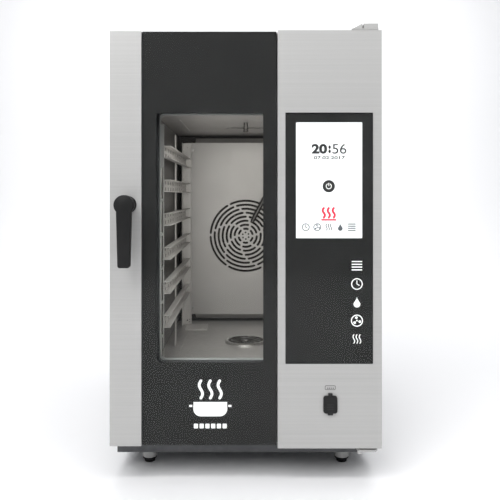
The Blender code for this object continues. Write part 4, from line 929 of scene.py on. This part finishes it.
def make_handle():
    """The drop-shaped lever with its domed head, soft edges and a shallow grip behind."""
    low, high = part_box("handle_lever")
    head_x, head_z = -0.2245, 0.5355
    rose_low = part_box("handle_rose")[0].y - FRONT_Y
    front = low.y - FRONT_Y
    radius = (high.x - low.x) / 2
    sections = 26
    shape = bmesh.new()
    rings = []
    outline_depths = [
        (0.0, 0.900), (0.0003, 0.940), (0.0010, 0.970), (0.0022, 0.985),
        (0.0050, 1.0), (0.0150, 1.0), (0.0170, 0.975), (0.0180, 0.920),
    ]
    foot_half = 0.0111
    shoulder = 48

    def outline(scale):
        """The lever's outline drawn in by a share of its half width."""
        inset = radius * (1 - scale) * 0.62
        big = radius - inset
        points = arc((head_x, head_z), big, -90 + shoulder, 270 - shoulder, sections)
        bottom = low.z + inset * 0.8
        small = foot_half - inset * 0.6
        corner = 0.0042 * scale
        points += arc((head_x - small + corner, bottom + corner), corner, 180, 270, 5)
        points += arc((head_x + small - corner, bottom + corner), corner, 270, 360, 5)
        return points

    for depth, scale in outline_depths:
        rings.append([shape.verts.new((x, y_at(front + depth), z)) for x, z in outline(scale)])
    count = len(rings[0])
    for near, far in zip(rings, rings[1:]):
        for i in range(count):
            shape.faces.new((near[i], near[(i + 1) % count], far[(i + 1) % count], far[i]))
    shape.faces.new(rings[0][::-1])
    shape.faces.new(rings[-1])
    bmesh.ops.recalc_face_normals(shape, faces=shape.faces)
    mesh = bpy.data.meshes.new("lever_body")
    shape.to_mesh(mesh)
    shape.free()
    lever = round_off(place("lever_body", mesh, "black_plastic"), 50)
    neck = turned(
        "lever_neck",
        [
            (0.0125, -0.0002 + front + 0.0175), (0.0125, rose_low - 0.0014), (0.0115, rose_low - 0.0008),
            (0.0, rose_low - 0.0008), (0.0, front + 0.0173)
        ],
        (head_x, 0.0, head_z), "Y", "black_plastic",
    )
    cap = turned(
        "lever_cap", [
            (0.0, front + 0.00002), (0.0068, front + 0.00004), (0.0074, front + 0.0004),
            (0.0074, front + 0.002), (0.0, front + 0.002)
        ],
        (head_x, 0.0, head_z), "Y", "black_plastic", 40,
    )
    fit(merge("door_handle", [lever, neck, cap]), "handle", "black_plastic", "handle_lever")
    rose = turned(
        "rose_body",
        [
            (0.0078, rose_low), (0.0140, rose_low), (0.0160, rose_low + 0.0008),
            (0.0165, rose_low + 0.0020), (0.0165, -0.0003), (0.0078, -0.0003)
        ],
        (head_x, 0.0, head_z), "Y", "black_plastic", 56,
    )
    fit(merge("handle_rose_cover", [rose]), "door", "black_plastic", "handle_rose")


def make_usb_cover():
    """The rubber cover: a crowned face with a raised rim, a ribbed pull, a plug and the strap it bends on."""
    low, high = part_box("usb_cover")
    x = (low.x + high.x) / 2
    cover_low, cover_high = 0.1385, 0.1717
    half = (high.x - low.x) / 2
    body = plate(
        "cover_body", [
            rounded(x - half, cover_low, x + half, cover_high, 0.0045)
        ], "Y", (-0.0034, -0.0003), "cover_rubber",
        0.0007, 3,
    )
    rim_outer = rounded(
        x - half + 0.0008, cover_low + 0.0008, x + half - 0.0008, cover_high - 0.0008, 0.004
    )
    rim_inner = rounded(
        x - half + 0.0026, cover_low + 0.0026, x + half - 0.0026, cover_high - 0.0026, 0.0026
    )
    rim = plate("cover_rim", [rim_outer, rim_inner], "Y", (-0.0042, -0.0033), "cover_rubber", 0.0004, 2)
    parts = [body, rim]
    for n in range(4):
        z = cover_low + 0.0075 + n * 0.0032
        parts.append(
            block(
                f"cover_rib_{n}", (x - 0.0062, -0.0039, z), (x + 0.0062, -0.0033, z + 0.0013),
                "cover_rubber", 0.0003
            )
        )
    parts.append(
        block(
            "cover_pull", (x - 0.0050, -0.0040, low.z), (x + 0.0050, -0.0010, cover_low + 0.001),
            "cover_rubber", 0.0008
        )
    )
    parts.append(
        block(
            "cover_strap", (x - 0.0040, -0.0030, cover_high - 0.002), (x + 0.0040, -0.0008, high.z),
            "cover_rubber", 0.0005
        )
    )
    parts.append(
        block(
            "cover_plug", (x - 0.0078, -0.0010, 0.1508), (x + 0.0078, high.y - FRONT_Y, 0.1584),
            "cover_rubber", 0.0005
        )
    )
    fit(merge("data_socket_cover", parts), "usb_flap", "black_plastic", "usb_cover")


# ---------------------------------------------------------------- cavity


def bent(points, radius, steps=4):
    """Rounds the inner corners of an open polyline of (across, up) points."""
    rounded_line = [points[0]]
    for before, corner, after in zip(points, points[1:], points[2:]):
        here = Vector(corner)
        back = (Vector(before) - here).normalized()
        ahead = (Vector(after) - here).normalized()
        start, end = here + back * radius, here + ahead * radius
        for i in range(steps + 1):
            t = i / steps
            rounded_line.append(tuple(start * (1 - t) ** 2 + here * 2 * t * (1 - t) + end * t * t))
    rounded_line.append(points[-1])
    return rounded_line


def sheet_profile(points, thick):
    """A closed outline of folded sheet: an open line of points with its thickness added on the left."""
    count = len(points)
    offset = []
    for i, point in enumerate(points):
        before = Vector(points[max(i - 1, 0)])
        after = Vector(points[min(i + 1, count - 1)])
        along = (after - before).normalized()
        offset.append(tuple(Vector(point) + Vector((-along.y, along.x)) * thick))
    return list(points) + offset[::-1]


def extruded(name, points, facing, span, finish, angle=30):
    made = plate(name, [points], facing, span, finish)
    return round_off(made, angle)


def make_rack(side):
    """A rack of folded sheet: posts with slots, and six channel slides with two rows of punched slots."""
    name = "rack_left" if side < 0 else "rack_right"
    low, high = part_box(name)
    front, rear = low.y - FRONT_Y, high.y - FRONT_Y
    web, tip, back = 0.169, 0.156, 0.1785
    thick = 0.0015
    parts = []

    def face(label, loops, near, far, bevel=0.0003):
        xs = sorted((side * near, side * far))
        parts.append(plate(f"{name}_{label}", loops, "X", xs, "rack_steel", bevel))

    def bar(label, near, far, bevel=0.0004):
        xs = sorted((side * near[0], side * far[0]))
        corners = (xs[0], near[1], near[2]), (xs[1], far[1], far[2])
        parts.append(block(f"{name}_{label}", *corners, "rack_steel", bevel))

    for number in range(6):
        z = SHELF_FIRST + SHELF_PITCH * number
        half = 0.0130
        flat = half - 0.0024
        slots = []
        for n in range(10):
            d = front + 0.018 + n * 0.0455
            for row in (-1, 1):
                at = z + row * 0.0066
                slant = 0.0016 * row
                slots.append(
                    [
                        (d, at - 0.0039), (d + 0.0230, at - 0.0039), (d + 0.0230 - slant, at + 0.0039),
                        (d - slant, at + 0.0039)
                    ]
                )
        face(
            f"web_{number}", [rectangle(front + 0.001, z - flat, rear - 0.001, z + flat), *slots], web,
            web + thick, 0.0
        )
        for row in (-1, 1):
            line = bent(
                [
                    (side * (web + thick), z + row * flat), (side * (web + thick), z + row * half),
                    (side * tip, z + row * half)
                ],
                0.0022
            )
            inner = bent(
                [
                    (side * web, z + row * flat), (side * web, z + row * (half - thick)),
                    (side * tip, z + row * (half - thick))
                ],
                0.0008
            )
            parts.append(
                extruded(
                    f"{name}_bend_{number}_{row}", line + inner[::-1], "Y", (front + 0.001, rear - 0.001),
                    "rack_steel"
                )
            )
    windows = [
        rounded(
            front + 0.0066, low.z + 0.024 + n * SHELF_PITCH, front + 0.0176,
            low.z + 0.052 + n * SHELF_PITCH, 0.003
        ) for n in range(7)
    ]
    face(
        "front_web", [rectangle(front + 0.001, low.z + 0.0003, 0.130, high.z - 0.0003), *windows],
        back - 0.0017, back - 0.0002
    )
    edge, inner_edge = sorted((side * web, side * (back - 0.0018)))
    slot_low, slot_high = sorted((side * 0.1712, side * 0.1752))
    openings = [
        rectangle(
            slot_low, low.z + 0.008 + n * SHELF_PITCH, slot_high, low.z + 0.072 + n * SHELF_PITCH
        ) for n in range(6)
    ]
    post_face = [rectangle(edge, low.z, inner_edge, high.z), *openings]
    parts.append(
        plate(f"{name}_front_post", post_face, "Y", (front + 0.0002, front + 0.0014), "rack_steel", 0.0003)
    )
    holes = [circle((0.343, low.z + 0.055 + n * SHELF_PITCH), 0.0032, 16) for n in range(7)]
    face(
        "middle_post", [rectangle(0.330, low.z, 0.356, high.z), *holes], web + thick + 0.0001,
        web + thick + 0.0016
    )
    face(
        "rear_web",
        [
            rectangle(0.560, low.z + 0.0003, rear - 0.001, high.z - 0.0003),
            *[circle((0.572, low.z + 0.055 + n * SHELF_PITCH), 0.0028, 16) for n in range(7)]
        ],
        back - 0.0017, back - 0.0002
    )
    post = sorted((side * 0.153, side * back))
    lobes = [
        circle((side * 0.1655, low.z + 0.012), 0.0022, 14),
        circle((side * 0.1655, high.z - 0.012), 0.0022, 14)
    ]
    parts.append(
        plate(
            f"{name}_rear_post", [rounded(post[0], low.z, post[1], high.z, 0.002), *lobes], "Y",
            (rear - 0.002, rear), "rack_steel", 0.0004
        )
    )
    bar("post_fold", (0.153, rear - 0.0095, low.z + 0.006), (0.1545, rear - 0.0018, high.z - 0.006))
    bar("post_bead", (0.1632, rear - 0.0034, low.z + 0.030), (0.1648, rear - 0.0018, high.z - 0.030))
    foot = sorted((side * 0.105, side * 0.165))
    parts.append(
        plate(
            f"{name}_foot",
            [
                rounded(foot[0], 0.507, foot[1], rear - 0.001, 0.004),
                circle((side * 0.118, 0.521), 0.003, 16)
            ],
            "Z", (low.z, low.z + 0.002), "rack_steel", 0.0004
        )
    )
    for number, at in enumerate((low.z + 0.0075, low.z + 0.0145)):
        parts.append(screw_head(f"{name}_screw_{number}", (side * 0.1585, rear - 0.002, at), "Y", 0.0028))
    parts.append(
        pipe(
            f"{name}_hook",
            [
                (side * 0.1745, 0.137, 0.398), (side * 0.1745, 0.137, 0.432), (side * 0.1745, 0.140, 0.436),
                (side * 0.1765, 0.143, 0.438)
            ],
            0.0019, "polished_steel"
        )
    )
    body = "left_rack" if side < 0 else "right_rack"
    fit(merge(f"side_{name}", parts), body, "cavity_steel", name)


def make_baffle():
    """The air guide: eight rings of slots, six holes round the centre, sloped edges and corner screws."""
    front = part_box("fan_baffle")[0].y - FRONT_Y
    bottom, top = 0.2076, 0.7047
    half = 0.176
    loops = [rounded(-half, bottom, half, top, 0.003)]
    for number in range(8):
        radius = 0.0205 + number * (0.1020 - 0.0205) / 7
        width = 0.0062
        shift = degrees((0.0050 + width) / 2 / radius)
        for slot in range(6):
            start = 178.3 + number * 8.6 + slot * 60 + shift
            loops.append(ring_slot((0.0, FAN_Z), radius, width, start, start + 60 - 2 * shift, 4 + number))
    for hole in range(6):
        loops.append(circle(on_circle((0.0, FAN_Z), 0.0095, 33 + 60 * hole), 0.0026, 14))
    face = plate("baffle_face", loops, "Y", (front, front + 0.0015), "cavity_steel", 0.00035, 2)
    parts = [face]
    for edge, away in ((top, 1), (bottom, -1)):
        line = bent(
            [
                (front + 0.0001, edge - away * 0.004), (front + 0.0001, edge),
                (front + 0.0148, edge + away * 0.0146)
            ],
            0.003, 5
        )
        parts.append(
            extruded(
                f"baffle_fold_{away}", sheet_profile(line, -away * 0.0013), "X", (-0.146, 0.146),
                "cavity_steel"
            )
        )
    for x in (-0.155, 0.155):
        for z in (bottom + 0.02, top - 0.02):
            parts.append(screw_head(f"baffle_screw_{x}_{z}", (x, front, z), "Y", 0.0050, height=0.0016))
            parts.append(
                turned(
                    f"baffle_stud_{x}_{z}", [(0.0, 0.0605), (0.004, 0.0605), (0.004, 0.001), (0.0, 0.001)],
                    (x, front, z), "Y", "cavity_steel", 24
                )
            )
    for x in (-0.160, 0.160):
        for z in (0.340, 0.455, 0.570):
            parts.append(
                screw_head(
                    f"baffle_rivet_{x}_{z}", (x, front, z), "Y", 0.0026, "cavity_steel", height=0.0008
                )
            )
    fit(merge("air_guide", parts), "root", "cavity_steel", "fan_baffle")


def make_seal():
    """The door seal: a hollow silicone bulb with two ribs, run round the cavity mouth."""
    low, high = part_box("door_seal")
    near, far = low.y - FRONT_Y, high.y - FRONT_Y
    radius = (far - near) / 2
    half = high.x - radius
    base, top = low.z + radius, high.z - radius
    corner = 0.0125
    path = rounded(-half, base, half, top, corner, 10)
    profile = []
    for step in range(28):
        turn = 2 * pi * step / 28
        lobe = radius * (1.0 - 0.10 * max(0.0, cos(4 * turn)) ** 2)
        profile.append((lobe * cos(turn), lobe * sin(turn)))
    middle = (near + far) / 2
    shape = bmesh.new()
    rings = []
    count = len(path)
    for i in range(count):
        before, after = Vector(path[i - 1]), Vector(path[(i + 1) % count])
        along = (after - before).normalized()
        across = Vector((along.y, -along.x))
        rings.append([
            shape.verts.new(
                (path[i][0] + across.x * a, y_at(middle + b), path[i][1] + across.y * a)
            ) for a, b in profile
        ])
    for i in range(count):
        near_ring, far_ring = rings[i], rings[(i + 1) % count]
        for k in range(len(profile)):
            j = (k + 1) % len(profile)
            shape.faces.new((near_ring[k], near_ring[j], far_ring[j], far_ring[k]))
    bmesh.ops.recalc_face_normals(shape, faces=shape.faces)
    mesh = bpy.data.meshes.new("seal_bulb")
    shape.to_mesh(mesh)
    shape.free()
    seal = round_off(place("mouth_seal", mesh, "silicone"), 60)
    fit(seal, "root", "silicone", "door_seal")


def make_drain_cover():
    """The pressed drain cover: a raised centre, a rolled rim, eight ribs and water slots between them."""
    low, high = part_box("drain_cover")
    centre = ((low.x + high.x) / 2, (low.y + high.y) / 2 - FRONT_Y)
    radius = (high.x - low.x) / 2
    top, bottom = high.z, low.z
    loops = [circle(centre, radius * 0.86, 72)]
    for n in range(12):
        turn = 30 * n + 15
        inner, outer = radius * 0.36, radius * 0.74
        left = on_circle(centre, inner, turn - 7), on_circle(centre, outer, turn - 8)
        right = on_circle(centre, outer, turn + 8), on_circle(centre, inner, turn + 7)
        loops.append(
            [
                left[0], left[1], on_circle(centre, outer * 1.03, turn), right[0], right[1],
                on_circle(centre, inner * 0.95, turn)
            ]
        )
    level = (top + bottom) / 2
    # The disc is near black: heat tint with painted shade.
    disc = plate("cover_disc", loops, "Z", (level - 0.0004, level + 0.0006), "heat_tint_and_painted_shade_steel", 0.0003)
    rim = turned(
        "cover_rim",
        [
            (radius * 0.84, level + 0.0004), (radius * 0.90, level + 0.0010),
            (radius * 0.96, level + 0.0006), (radius, level - 0.0010), (radius, bottom),
            (radius * 0.975, bottom), (radius * 0.955, level - 0.0008), (radius * 0.90, level - 0.0003),
            (radius * 0.84, level - 0.0006)
        ],
        (centre[0], centre[1], 0.0), "Z", "polished_steel", 72, 50,
    )
    knob = turned(
        "cover_knob",
        [
            (0.0, top), (radius * 0.10, top - 0.0001), (radius * 0.17, top - 0.0006),
            (radius * 0.22, top - 0.0016), (radius * 0.30, level + 0.0004), (radius * 0.30, level - 0.0004),
            (0.0, level - 0.0004)
        ],
        (centre[0], centre[1], 0.0), "Z", "dark_steel_and_painted_reflection", 48, 50,
    )
    parts = [disc, rim, knob]
    for n in range(4):
        turn = 90 * n + 45
        x, d = on_circle(centre, radius * 0.93, turn)
        parts.append(
            turned(
                f"cover_foot_{n}", [(0.0, level), (0.0022, level), (0.0018, bottom), (0.0, bottom)],
                (x, d, 0.0), "Z", "polished_steel", 16
            )
        )
    fit(merge("floor_drain_cover", parts), "root", "polished_steel", "drain_cover")


def make_wash_arm():
    """The spray rotor under the ceiling: two tapered arms with jets, a hub and its retaining knob."""
    low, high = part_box("wash_rotor")
    depth = 0.313
    reach = high.x
    parts = []
    level = 0.7143
    for side in (-1, 1):
        stations = [
            (0.004, 0.0029), (0.018, 0.0026), (0.034, 0.0021), (reach - 0.0016, 0.0016),
            (reach - 0.0003, 0.0009)
        ]
        shape = bmesh.new()
        rings = []
        for x, r in stations:
            rings.append(
                [
                    shape.verts.new(
                        (
                            side * x, y_at(depth + r * 1.05 * cos(2 * pi * i / 16)),
                            level + r * 0.62 * sin(2 * pi * i / 16)
                        )
                    ) for i in range(16)
                ]
            )
        for near, far in zip(rings, rings[1:]):
            for i in range(16):
                shape.faces.new((near[i], near[(i + 1) % 16], far[(i + 1) % 16], far[i]))
        shape.faces.new(rings[0][::-1])
        shape.faces.new(rings[-1])
        bmesh.ops.recalc_face_normals(shape, faces=shape.faces)
        mesh = bpy.data.meshes.new("arm")
        shape.to_mesh(mesh)
        shape.free()
        parts.append(round_off(place(f"arm_{side}", mesh, "dark_steel_and_painted_reflection"), 50))
        for n in range(3):
            at = side * (0.016 + n * 0.011)
            parts.append(
                turned(
                    f"jet_{side}_{n}",
                    [(0.0, 0.7126), (0.0009, 0.7126), (0.0012, 0.7133), (0.0012, 0.7140), (0.0, 0.7140)],
                    (at, depth, 0.0), "Z", "polished_steel", 14
                )
            )
    bottom = low.z
    parts.append(turned(
        "hub",
        [
            (0.0, high.z), (0.0050, high.z), (0.0070, high.z - 0.0008), (0.0074, 0.7150), (0.0066, 0.7118),
            (0.0042, 0.7106), (0.0042, 0.7090), (0.0062, 0.7076), (0.0068, bottom + 0.0040),
            (0.0060, bottom + 0.0012), (0.0036, bottom), (0.0, bottom)
        ],
        (0.0, depth, 0.0), "Z", "dark_steel_and_painted_reflection", 40, 55,
    ))
    fit(merge("spray_rotor", parts), "wash_arm", "polished_steel", "wash_rotor")


# ---------------------------------------------------------------- outside fittings


def make_legs():
    """A chamfered sleeve at each corner, and a foot with a threaded stud, a flange and a ribbed sole."""
    for corner in ("front_left", "front_right", "rear_left", "rear_right"):
        low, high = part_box(f"leg_sleeve_{corner}")
        centre = ((low.x + high.x) / 2, (low.y + high.y) / 2 - FRONT_Y, 0.0)
        sleeve = turned(
            f"sleeve_{corner}",
            [
                (0.0121, high.z), (0.0139, high.z), (0.0145, high.z - 0.0006), (0.0145, low.z + 0.0008),
                (0.0139, low.z), (0.0121, low.z), (0.0118, low.z + 0.0004), (0.0118, high.z - 0.0004)
            ],
            centre, "Z", "brushed_steel", 56,
        )
        fit(merge(f"leg_{corner}", [sleeve]), "root", "brushed_steel", f"leg_sleeve_{corner}")
        thread = []
        for turn_number in range(12):
            z = 0.0505 - turn_number * 0.0016
            thread += [(0.0040, z), (0.0034, z - 0.0008)]
        sole = [
            (0.0108, 0.0006), (0.0102, 0.0), (0.0082, 0.0), (0.0080, 0.0008), (0.0064, 0.0008),
            (0.0062, 0.0), (0.0, 0.0)
        ]
        profile = [
            (0.0, 0.0520), (0.0034, 0.0520), *thread, (0.0034, 0.0304), (0.0108, 0.0304), (0.0110, 0.0300),
            (0.0110, 0.0110), (0.0106, 0.0102), (0.0110, 0.0095), (0.0141, 0.0095), (0.0145, 0.0091),
            (0.0145, 0.0078), (0.0140, 0.0074), (0.0114, 0.0058), (0.0112, 0.0044), (0.0106, 0.0040),
            (0.0111, 0.0034), *sole
        ]
        foot = turned(f"foot_body_{corner}", profile, centre, "Z", "black_plastic", 48, 40)
        fit(merge(f"levelling_foot_{corner}", [foot]), f"foot_{corner}", "black_plastic", f"foot_{corner}")


def make_side_panel(side):
    """A folded side sheet with six dimples and a countersunk screw flush in each."""
    name = "left_side_panel" if side < 0 else "right_side_panel"
    low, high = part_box(name)
    front, back = low.y - FRONT_Y, high.y - FRONT_Y
    outer = max(-low.x, high.x)
    tip = outer - 0.014
    line = bent(
        [
            (side * tip, front + 0.0001), (side * (outer - 0.0001), front + 0.0001),
            (side * (outer - 0.0001), back - 0.0001), (side * tip, back - 0.0001)
        ],
        0.0022, 5
    )
    sheet = plate(
        f"{name}_sheet", [sheet_profile(line, side * 0.0014)], "Z", (low.z, high.z), "brushed_steel"
    )
    spots = [
        (d, z) for d in (front + 0.022, back - 0.022) for z in (
            low.z + 0.030, (low.z + high.z) / 2, high.z - 0.030
        )
    ]
    dimples = []
    for n, (d, z) in enumerate(spots):
        profile = [(0.0, -0.0012), (0.0030, -0.0012), (0.0058, 0.0005), (0.0, 0.0005)]
        dimples.append(
            turned(f"dimple_{n}", [(r, side * h) for r, h in profile], (side * outer, d, z), "X", "", 28)
        )
    sheet = cut(sheet, *dimples)
    round_off(sheet, 25)
    heads = []
    for n, (d, z) in enumerate(spots):
        profile = [
            (0.0, -0.0007), (0.0013, -0.0007), (0.0015, -0.0003), (0.0040, -0.00035), (0.0040, -0.0010),
            (0.0, -0.0010)
        ]
        heads.append(
            turned(
                f"{name}_head_{n}", [(r, side * h) for r, h in profile], (side * outer, d, z), "X",
                "polished_steel", 24
            )
        )
    fit(merge(f"{name}_sheet_metal", [sheet, *heads]), "root", "brushed_steel", name)


def make_cabinet_screws():
    """Screws in the lid, the rear cover and the hinge brackets, riding beside the solids they hold."""
    heads = []
    lid_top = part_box("top_panel")[1].z
    for x in (-0.238, 0.0, 0.238):
        for depth in (0.300, 0.765):
            heads.append(screw_head(f"lid_screw_{x}_{depth}", (x, depth, lid_top), "Z", 0.0045, out=1))
    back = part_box("rear_panel")[1].y - FRONT_Y
    for x in (-0.248, 0.0, 0.248):
        for z in (0.080, 0.455, 0.835):
            if x or z != 0.455:
                heads.append(screw_head(f"cover_screw_{x}_{z}", (x, back, z), "Y", 0.0045, out=1))
    for x in (0.2140, 0.2440):
        heads.append(screw_head(f"bracket_screw_{x}", (x, 0.135, 0.8730), "Z", 0.0050, out=1))
    fit(merge("cabinet_screws", heads), "root", "polished_steel")


def make_exhaust():
    """The exhaust stack with a rolled rim over the lid and a flange on it."""
    low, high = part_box("exhaust_stack")
    centre = ((low.x + high.x) / 2, (low.y + high.y) / 2 - FRONT_Y, 0.0)
    lid_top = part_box("top_panel")[1].z
    stack = turned(
        "stack_tube",
        [
            (0.0150, high.z - 0.0006), (0.0156, high.z), (0.0160, high.z), (0.0165, high.z - 0.0006),
            (0.0165, low.z), (0.0150, low.z)
        ],
        centre, "Z", "brushed_steel", 64,
    )
    collar = turned(
        "stack_collar",
        [
            (0.0167, lid_top + 0.0034), (0.0180, lid_top + 0.0034), (0.0192, lid_top + 0.0012),
            (0.0262, lid_top + 0.0010), (0.0266, lid_top + 0.0001), (0.0167, lid_top + 0.0001)
        ],
        centre, "Z", "brushed_steel", 64,
    )
    fit(merge("exhaust_pipe", [stack, collar]), "root", "brushed_steel", "exhaust_stack")


def make_rear_fittings():
    """Drain outlet with hose ribs, threaded water inlet and the ribbed nut of the cable gland."""
    low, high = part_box("drain_outlet")
    centre = (0.0, 0.0, (low.z + high.z) / 2)
    near, far = low.y - FRONT_Y, high.y - FRONT_Y
    ribs = []
    for n in range(5):
        at = far - 0.0010 - n * 0.0024
        ribs += [(0.0152, at), (0.0160, at - 0.0004), (0.0152, at - 0.0020)]
    outlet = turned(
        "outlet_pipe",
        [(0.0130, far), (0.0150, far), *ribs, (0.0150, far - 0.016), (0.0150, near), (0.0130, near)],
        centre, "Y", "grey_plastic", 48
    )
    fit(merge("drain_pipe", [outlet]), "root", "grey_plastic", "drain_outlet")

    low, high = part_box("water_inlet_valve")
    x, z = -0.150, 0.115
    front, back = low.y - FRONT_Y, high.y - FRONT_Y
    parts = [block("valve_body", (low.x, front, low.z), (high.x, 0.775, high.z), "grey_plastic", 0.0030, 3)]
    parts.append(
        turned(
            "valve_coil", [(0.0, 0.7275), (0.0130, 0.7275), (0.0140, 0.7300), (0.0, 0.7300)], (x, 0.0, z),
            "Y", "copper", 40
        )
    )
    thread = []
    for n in range(7):
        at = back - 0.0028 - n * 0.0018
        thread += [(0.0120, at), (0.0111, at - 0.0009)]
    parts.append(turned(
        "valve_nozzle", [
            (0.0065, back - 0.0003), (0.0068, back), (0.0092, back), (0.0111, back - 0.0019), *thread,
            (0.0120, 0.7830), (0.0120, 0.7720), (0.0, 0.7720), (0.0, 0.7882), (0.0065, 0.7882)
        ],
        (x, 0.0, z), "Y", "grey_plastic", 48,
    ))
    fit(merge("water_valve", parts), "root", "grey_plastic", "water_inlet_valve")

    low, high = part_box("cable_gland")
    x, z = (low.x + high.x) / 2, (low.z + high.z) / 2
    front, back = low.y - FRONT_Y, high.y - FRONT_Y
    core = turned(
        "gland_core", [
            (0.0065, back - 0.0004), (0.0070, back), (0.0092, back), (0.0098, back - 0.0008),
            (0.0140, back - 0.0046), (0.0146, back - 0.0056), (0.0146, 0.7853), (0.0122, 0.7853),
            (0.0122, front), (0.0065, front)
        ],
        (x, 0.0, z), "Y", "black_plastic", 48,
    )
    ribs = []
    for n in range(18):
        turn = 20 * n
        a, b = on_circle((x, z), 0.0150, turn - 4), on_circle((x, z), 0.0150, turn + 4)
        inner_a, inner_b = on_circle((x, z), 0.0140, turn - 5), on_circle((x, z), 0.0140, turn + 5)
        ribs.append(
            plate(
                f"gland_rib_{n}", [[inner_a, a, b, inner_b]], "Y", (0.7860, back - 0.0062), "black_plastic"
            )
        )
    fit(merge("mains_gland", [core, *ribs]), "root", "black_plastic", "cable_gland")


def make_motor():
    """The finned cast motor body behind the cavity."""
    low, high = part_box("fan_motor")
    front, back = low.y - FRONT_Y, high.y - FRONT_Y
    centre = (0.0, 0.0, FAN_Z)
    grooves = []
    for n in range(9):
        at = 0.7700 - n * 0.0046
        grooves += [(0.0450, at), (0.0450, at - 0.0024), (0.0405, at - 0.0028), (0.0405, at - 0.0042)]
    body = turned(
        "motor_shell", [
            (0.0, back), (0.0290, back), (0.0310, back - 0.0012), (0.0445, 0.7722), *grooves,
            (0.0450, 0.7280), (0.0342, front + 0.0004), (0.0335, front), (0.0068, front), (0.0068, 0.7510),
            (0.0, 0.7510)
        ],
        centre, "Y", "cast_aluminium", 64, 28,
    )
    parts = [body]
    for n in range(4):
        x, z = on_circle((0.0, FAN_Z), 0.0240, 45 + 90 * n)
        parts.append(
            screw_head(f"motor_screw_{n}", (x, back - 0.0022, z), "Y", 0.0032, out=1, height=0.0020)
        )
    fit(merge("fan_motor_body", parts), "root", "cast_aluminium", "fan_motor")


def make_boards():
    """Circuit boards with relays, capacitors, chips and terminals."""
    low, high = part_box("power_board")
    front = 0.7230
    parts = [
        plate(
            "power_laminate", [rounded(low.x, low.z, high.x, high.z, 0.003)], "Y", (front, front + 0.0020),
            "circuit_board", 0.0002
        )
    ]
    face = front + 0.0020
    for n in range(4):
        x = low.x + 0.022 + n * 0.021
        parts.append(
            block(
                f"relay_{n}", (x - 0.0085, face, 0.672), (x + 0.0085, face + 0.0190, 0.700),
                "black_plastic", 0.0008
            )
        )
    for n, (x, z) in enumerate(((0.200, 0.640), (0.200, 0.612), (0.216, 0.626))):
        parts.append(
            turned(
                f"capacitor_{n}",
                [
                    (0.0, face + 0.0240), (0.0062, face + 0.0240), (0.0070, face + 0.0232), (0.0070, face),
                    (0.0, face)
                ],
                (x, 0.0, z), "Y", "wire_blue", 28
            )
        )
    for n in range(9):
        x = low.x + 0.018 + n * 0.0130
        parts.append(
            block(
                f"terminal_{n}", (x - 0.0055, face, 0.506), (x + 0.0055, face + 0.0140, 0.519),
                "grey_plastic", 0.0006
            )
        )
        parts.append(screw_head(f"terminal_screw_{n}", (x, face + 0.0140, 0.5125), "Y", 0.0026, out=1))
    parts.append(
        block("transformer_core", (0.100, face, 0.548), (0.142, face + 0.0250, 0.586), "dark_steel_and_painted_reflection", 0.0012)
    )
    parts.append(
        block("transformer_coil", (0.106, face, 0.542), (0.136, face + 0.0220, 0.592), "copper", 0.0030)
    )
    parts.append(
        block(
            "heat_sink_base", (0.156, face, 0.545), (0.196, face + 0.0030, 0.590), "cast_aluminium", 0.0004
        )
    )
    for n in range(8):
        x = 0.1575 + n * 0.0052
        parts.append(
            block(
                f"heat_sink_fin_{n}", (x, face + 0.0028, 0.545), (x + 0.0016, face + 0.0180, 0.590),
                "cast_aluminium", 0.0003
            )
        )
    for n in range(12):
        x, z = 0.112 + (n % 6) * 0.0145, 0.618 + (n // 6) * 0.022
        parts.append(
            block(
                f"chip_{n}", (x - 0.0042, face, z - 0.0030), (x + 0.0042, face + 0.0022, z + 0.0030),
                "black_plastic", 0.0003
            )
        )
    fit(merge("power_electronics", parts), "root", "circuit_board", "power_board")

    low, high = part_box("control_board")
    front, back = low.y - FRONT_Y, high.y - FRONT_Y
    parts = [
        plate(
            "control_laminate", [rounded(low.x, low.z, high.x, high.z, 0.003)], "Y",
            (front + 0.0002, front + 0.0018), "circuit_board", 0.0002
        )
    ]
    face = front + 0.0018
    for n in range(24):
        x = low.x + 0.018 + (n % 4) * 0.0320
        z = low.z + 0.030 + (n // 4) * 0.0560
        size = 0.0050 + 0.0022 * ((n * 5) % 4)
        parts.append(
            block(
                f"ic_{n}", (x - size, face, z - size), (x + size, face + 0.0016, z + size), "black_plastic",
                0.0003
            )
        )
        for pin in range(4):
            at = z - size * 0.7 + pin * size * 0.46
            parts.append(
                block(
                    f"pin_{n}_{pin}", (x - size - 0.0016, face, at),
                    (x + size + 0.0016, face + 0.0005, at + 0.0009), "polished_steel"
                )
            )
    for n in range(4):
        x = low.x + 0.020 + n * 0.0290
        parts.append(
            block(
                f"socket_{n}", (x - 0.0095, face, high.z - 0.0150), (x + 0.0095, back, high.z - 0.0050),
                "print_white", 0.0005
            )
        )
    fit(merge("control_electronics", parts), "door", "circuit_board", "control_board")


make_materials()
dress_cad_nodes()
make_floor_and_light()
make_glass()
make_door_marks()
make_display()
make_handle()
make_usb_cover()
for side in (-1, 1):
    make_rack(side)
make_baffle()
make_seal()
make_drain_cover()
make_wash_arm()
make_legs()
for side in (-1, 1):
    make_side_panel(side)
make_cabinet_screws()
make_exhaust()
make_rear_fittings()
make_motor()
make_boards()
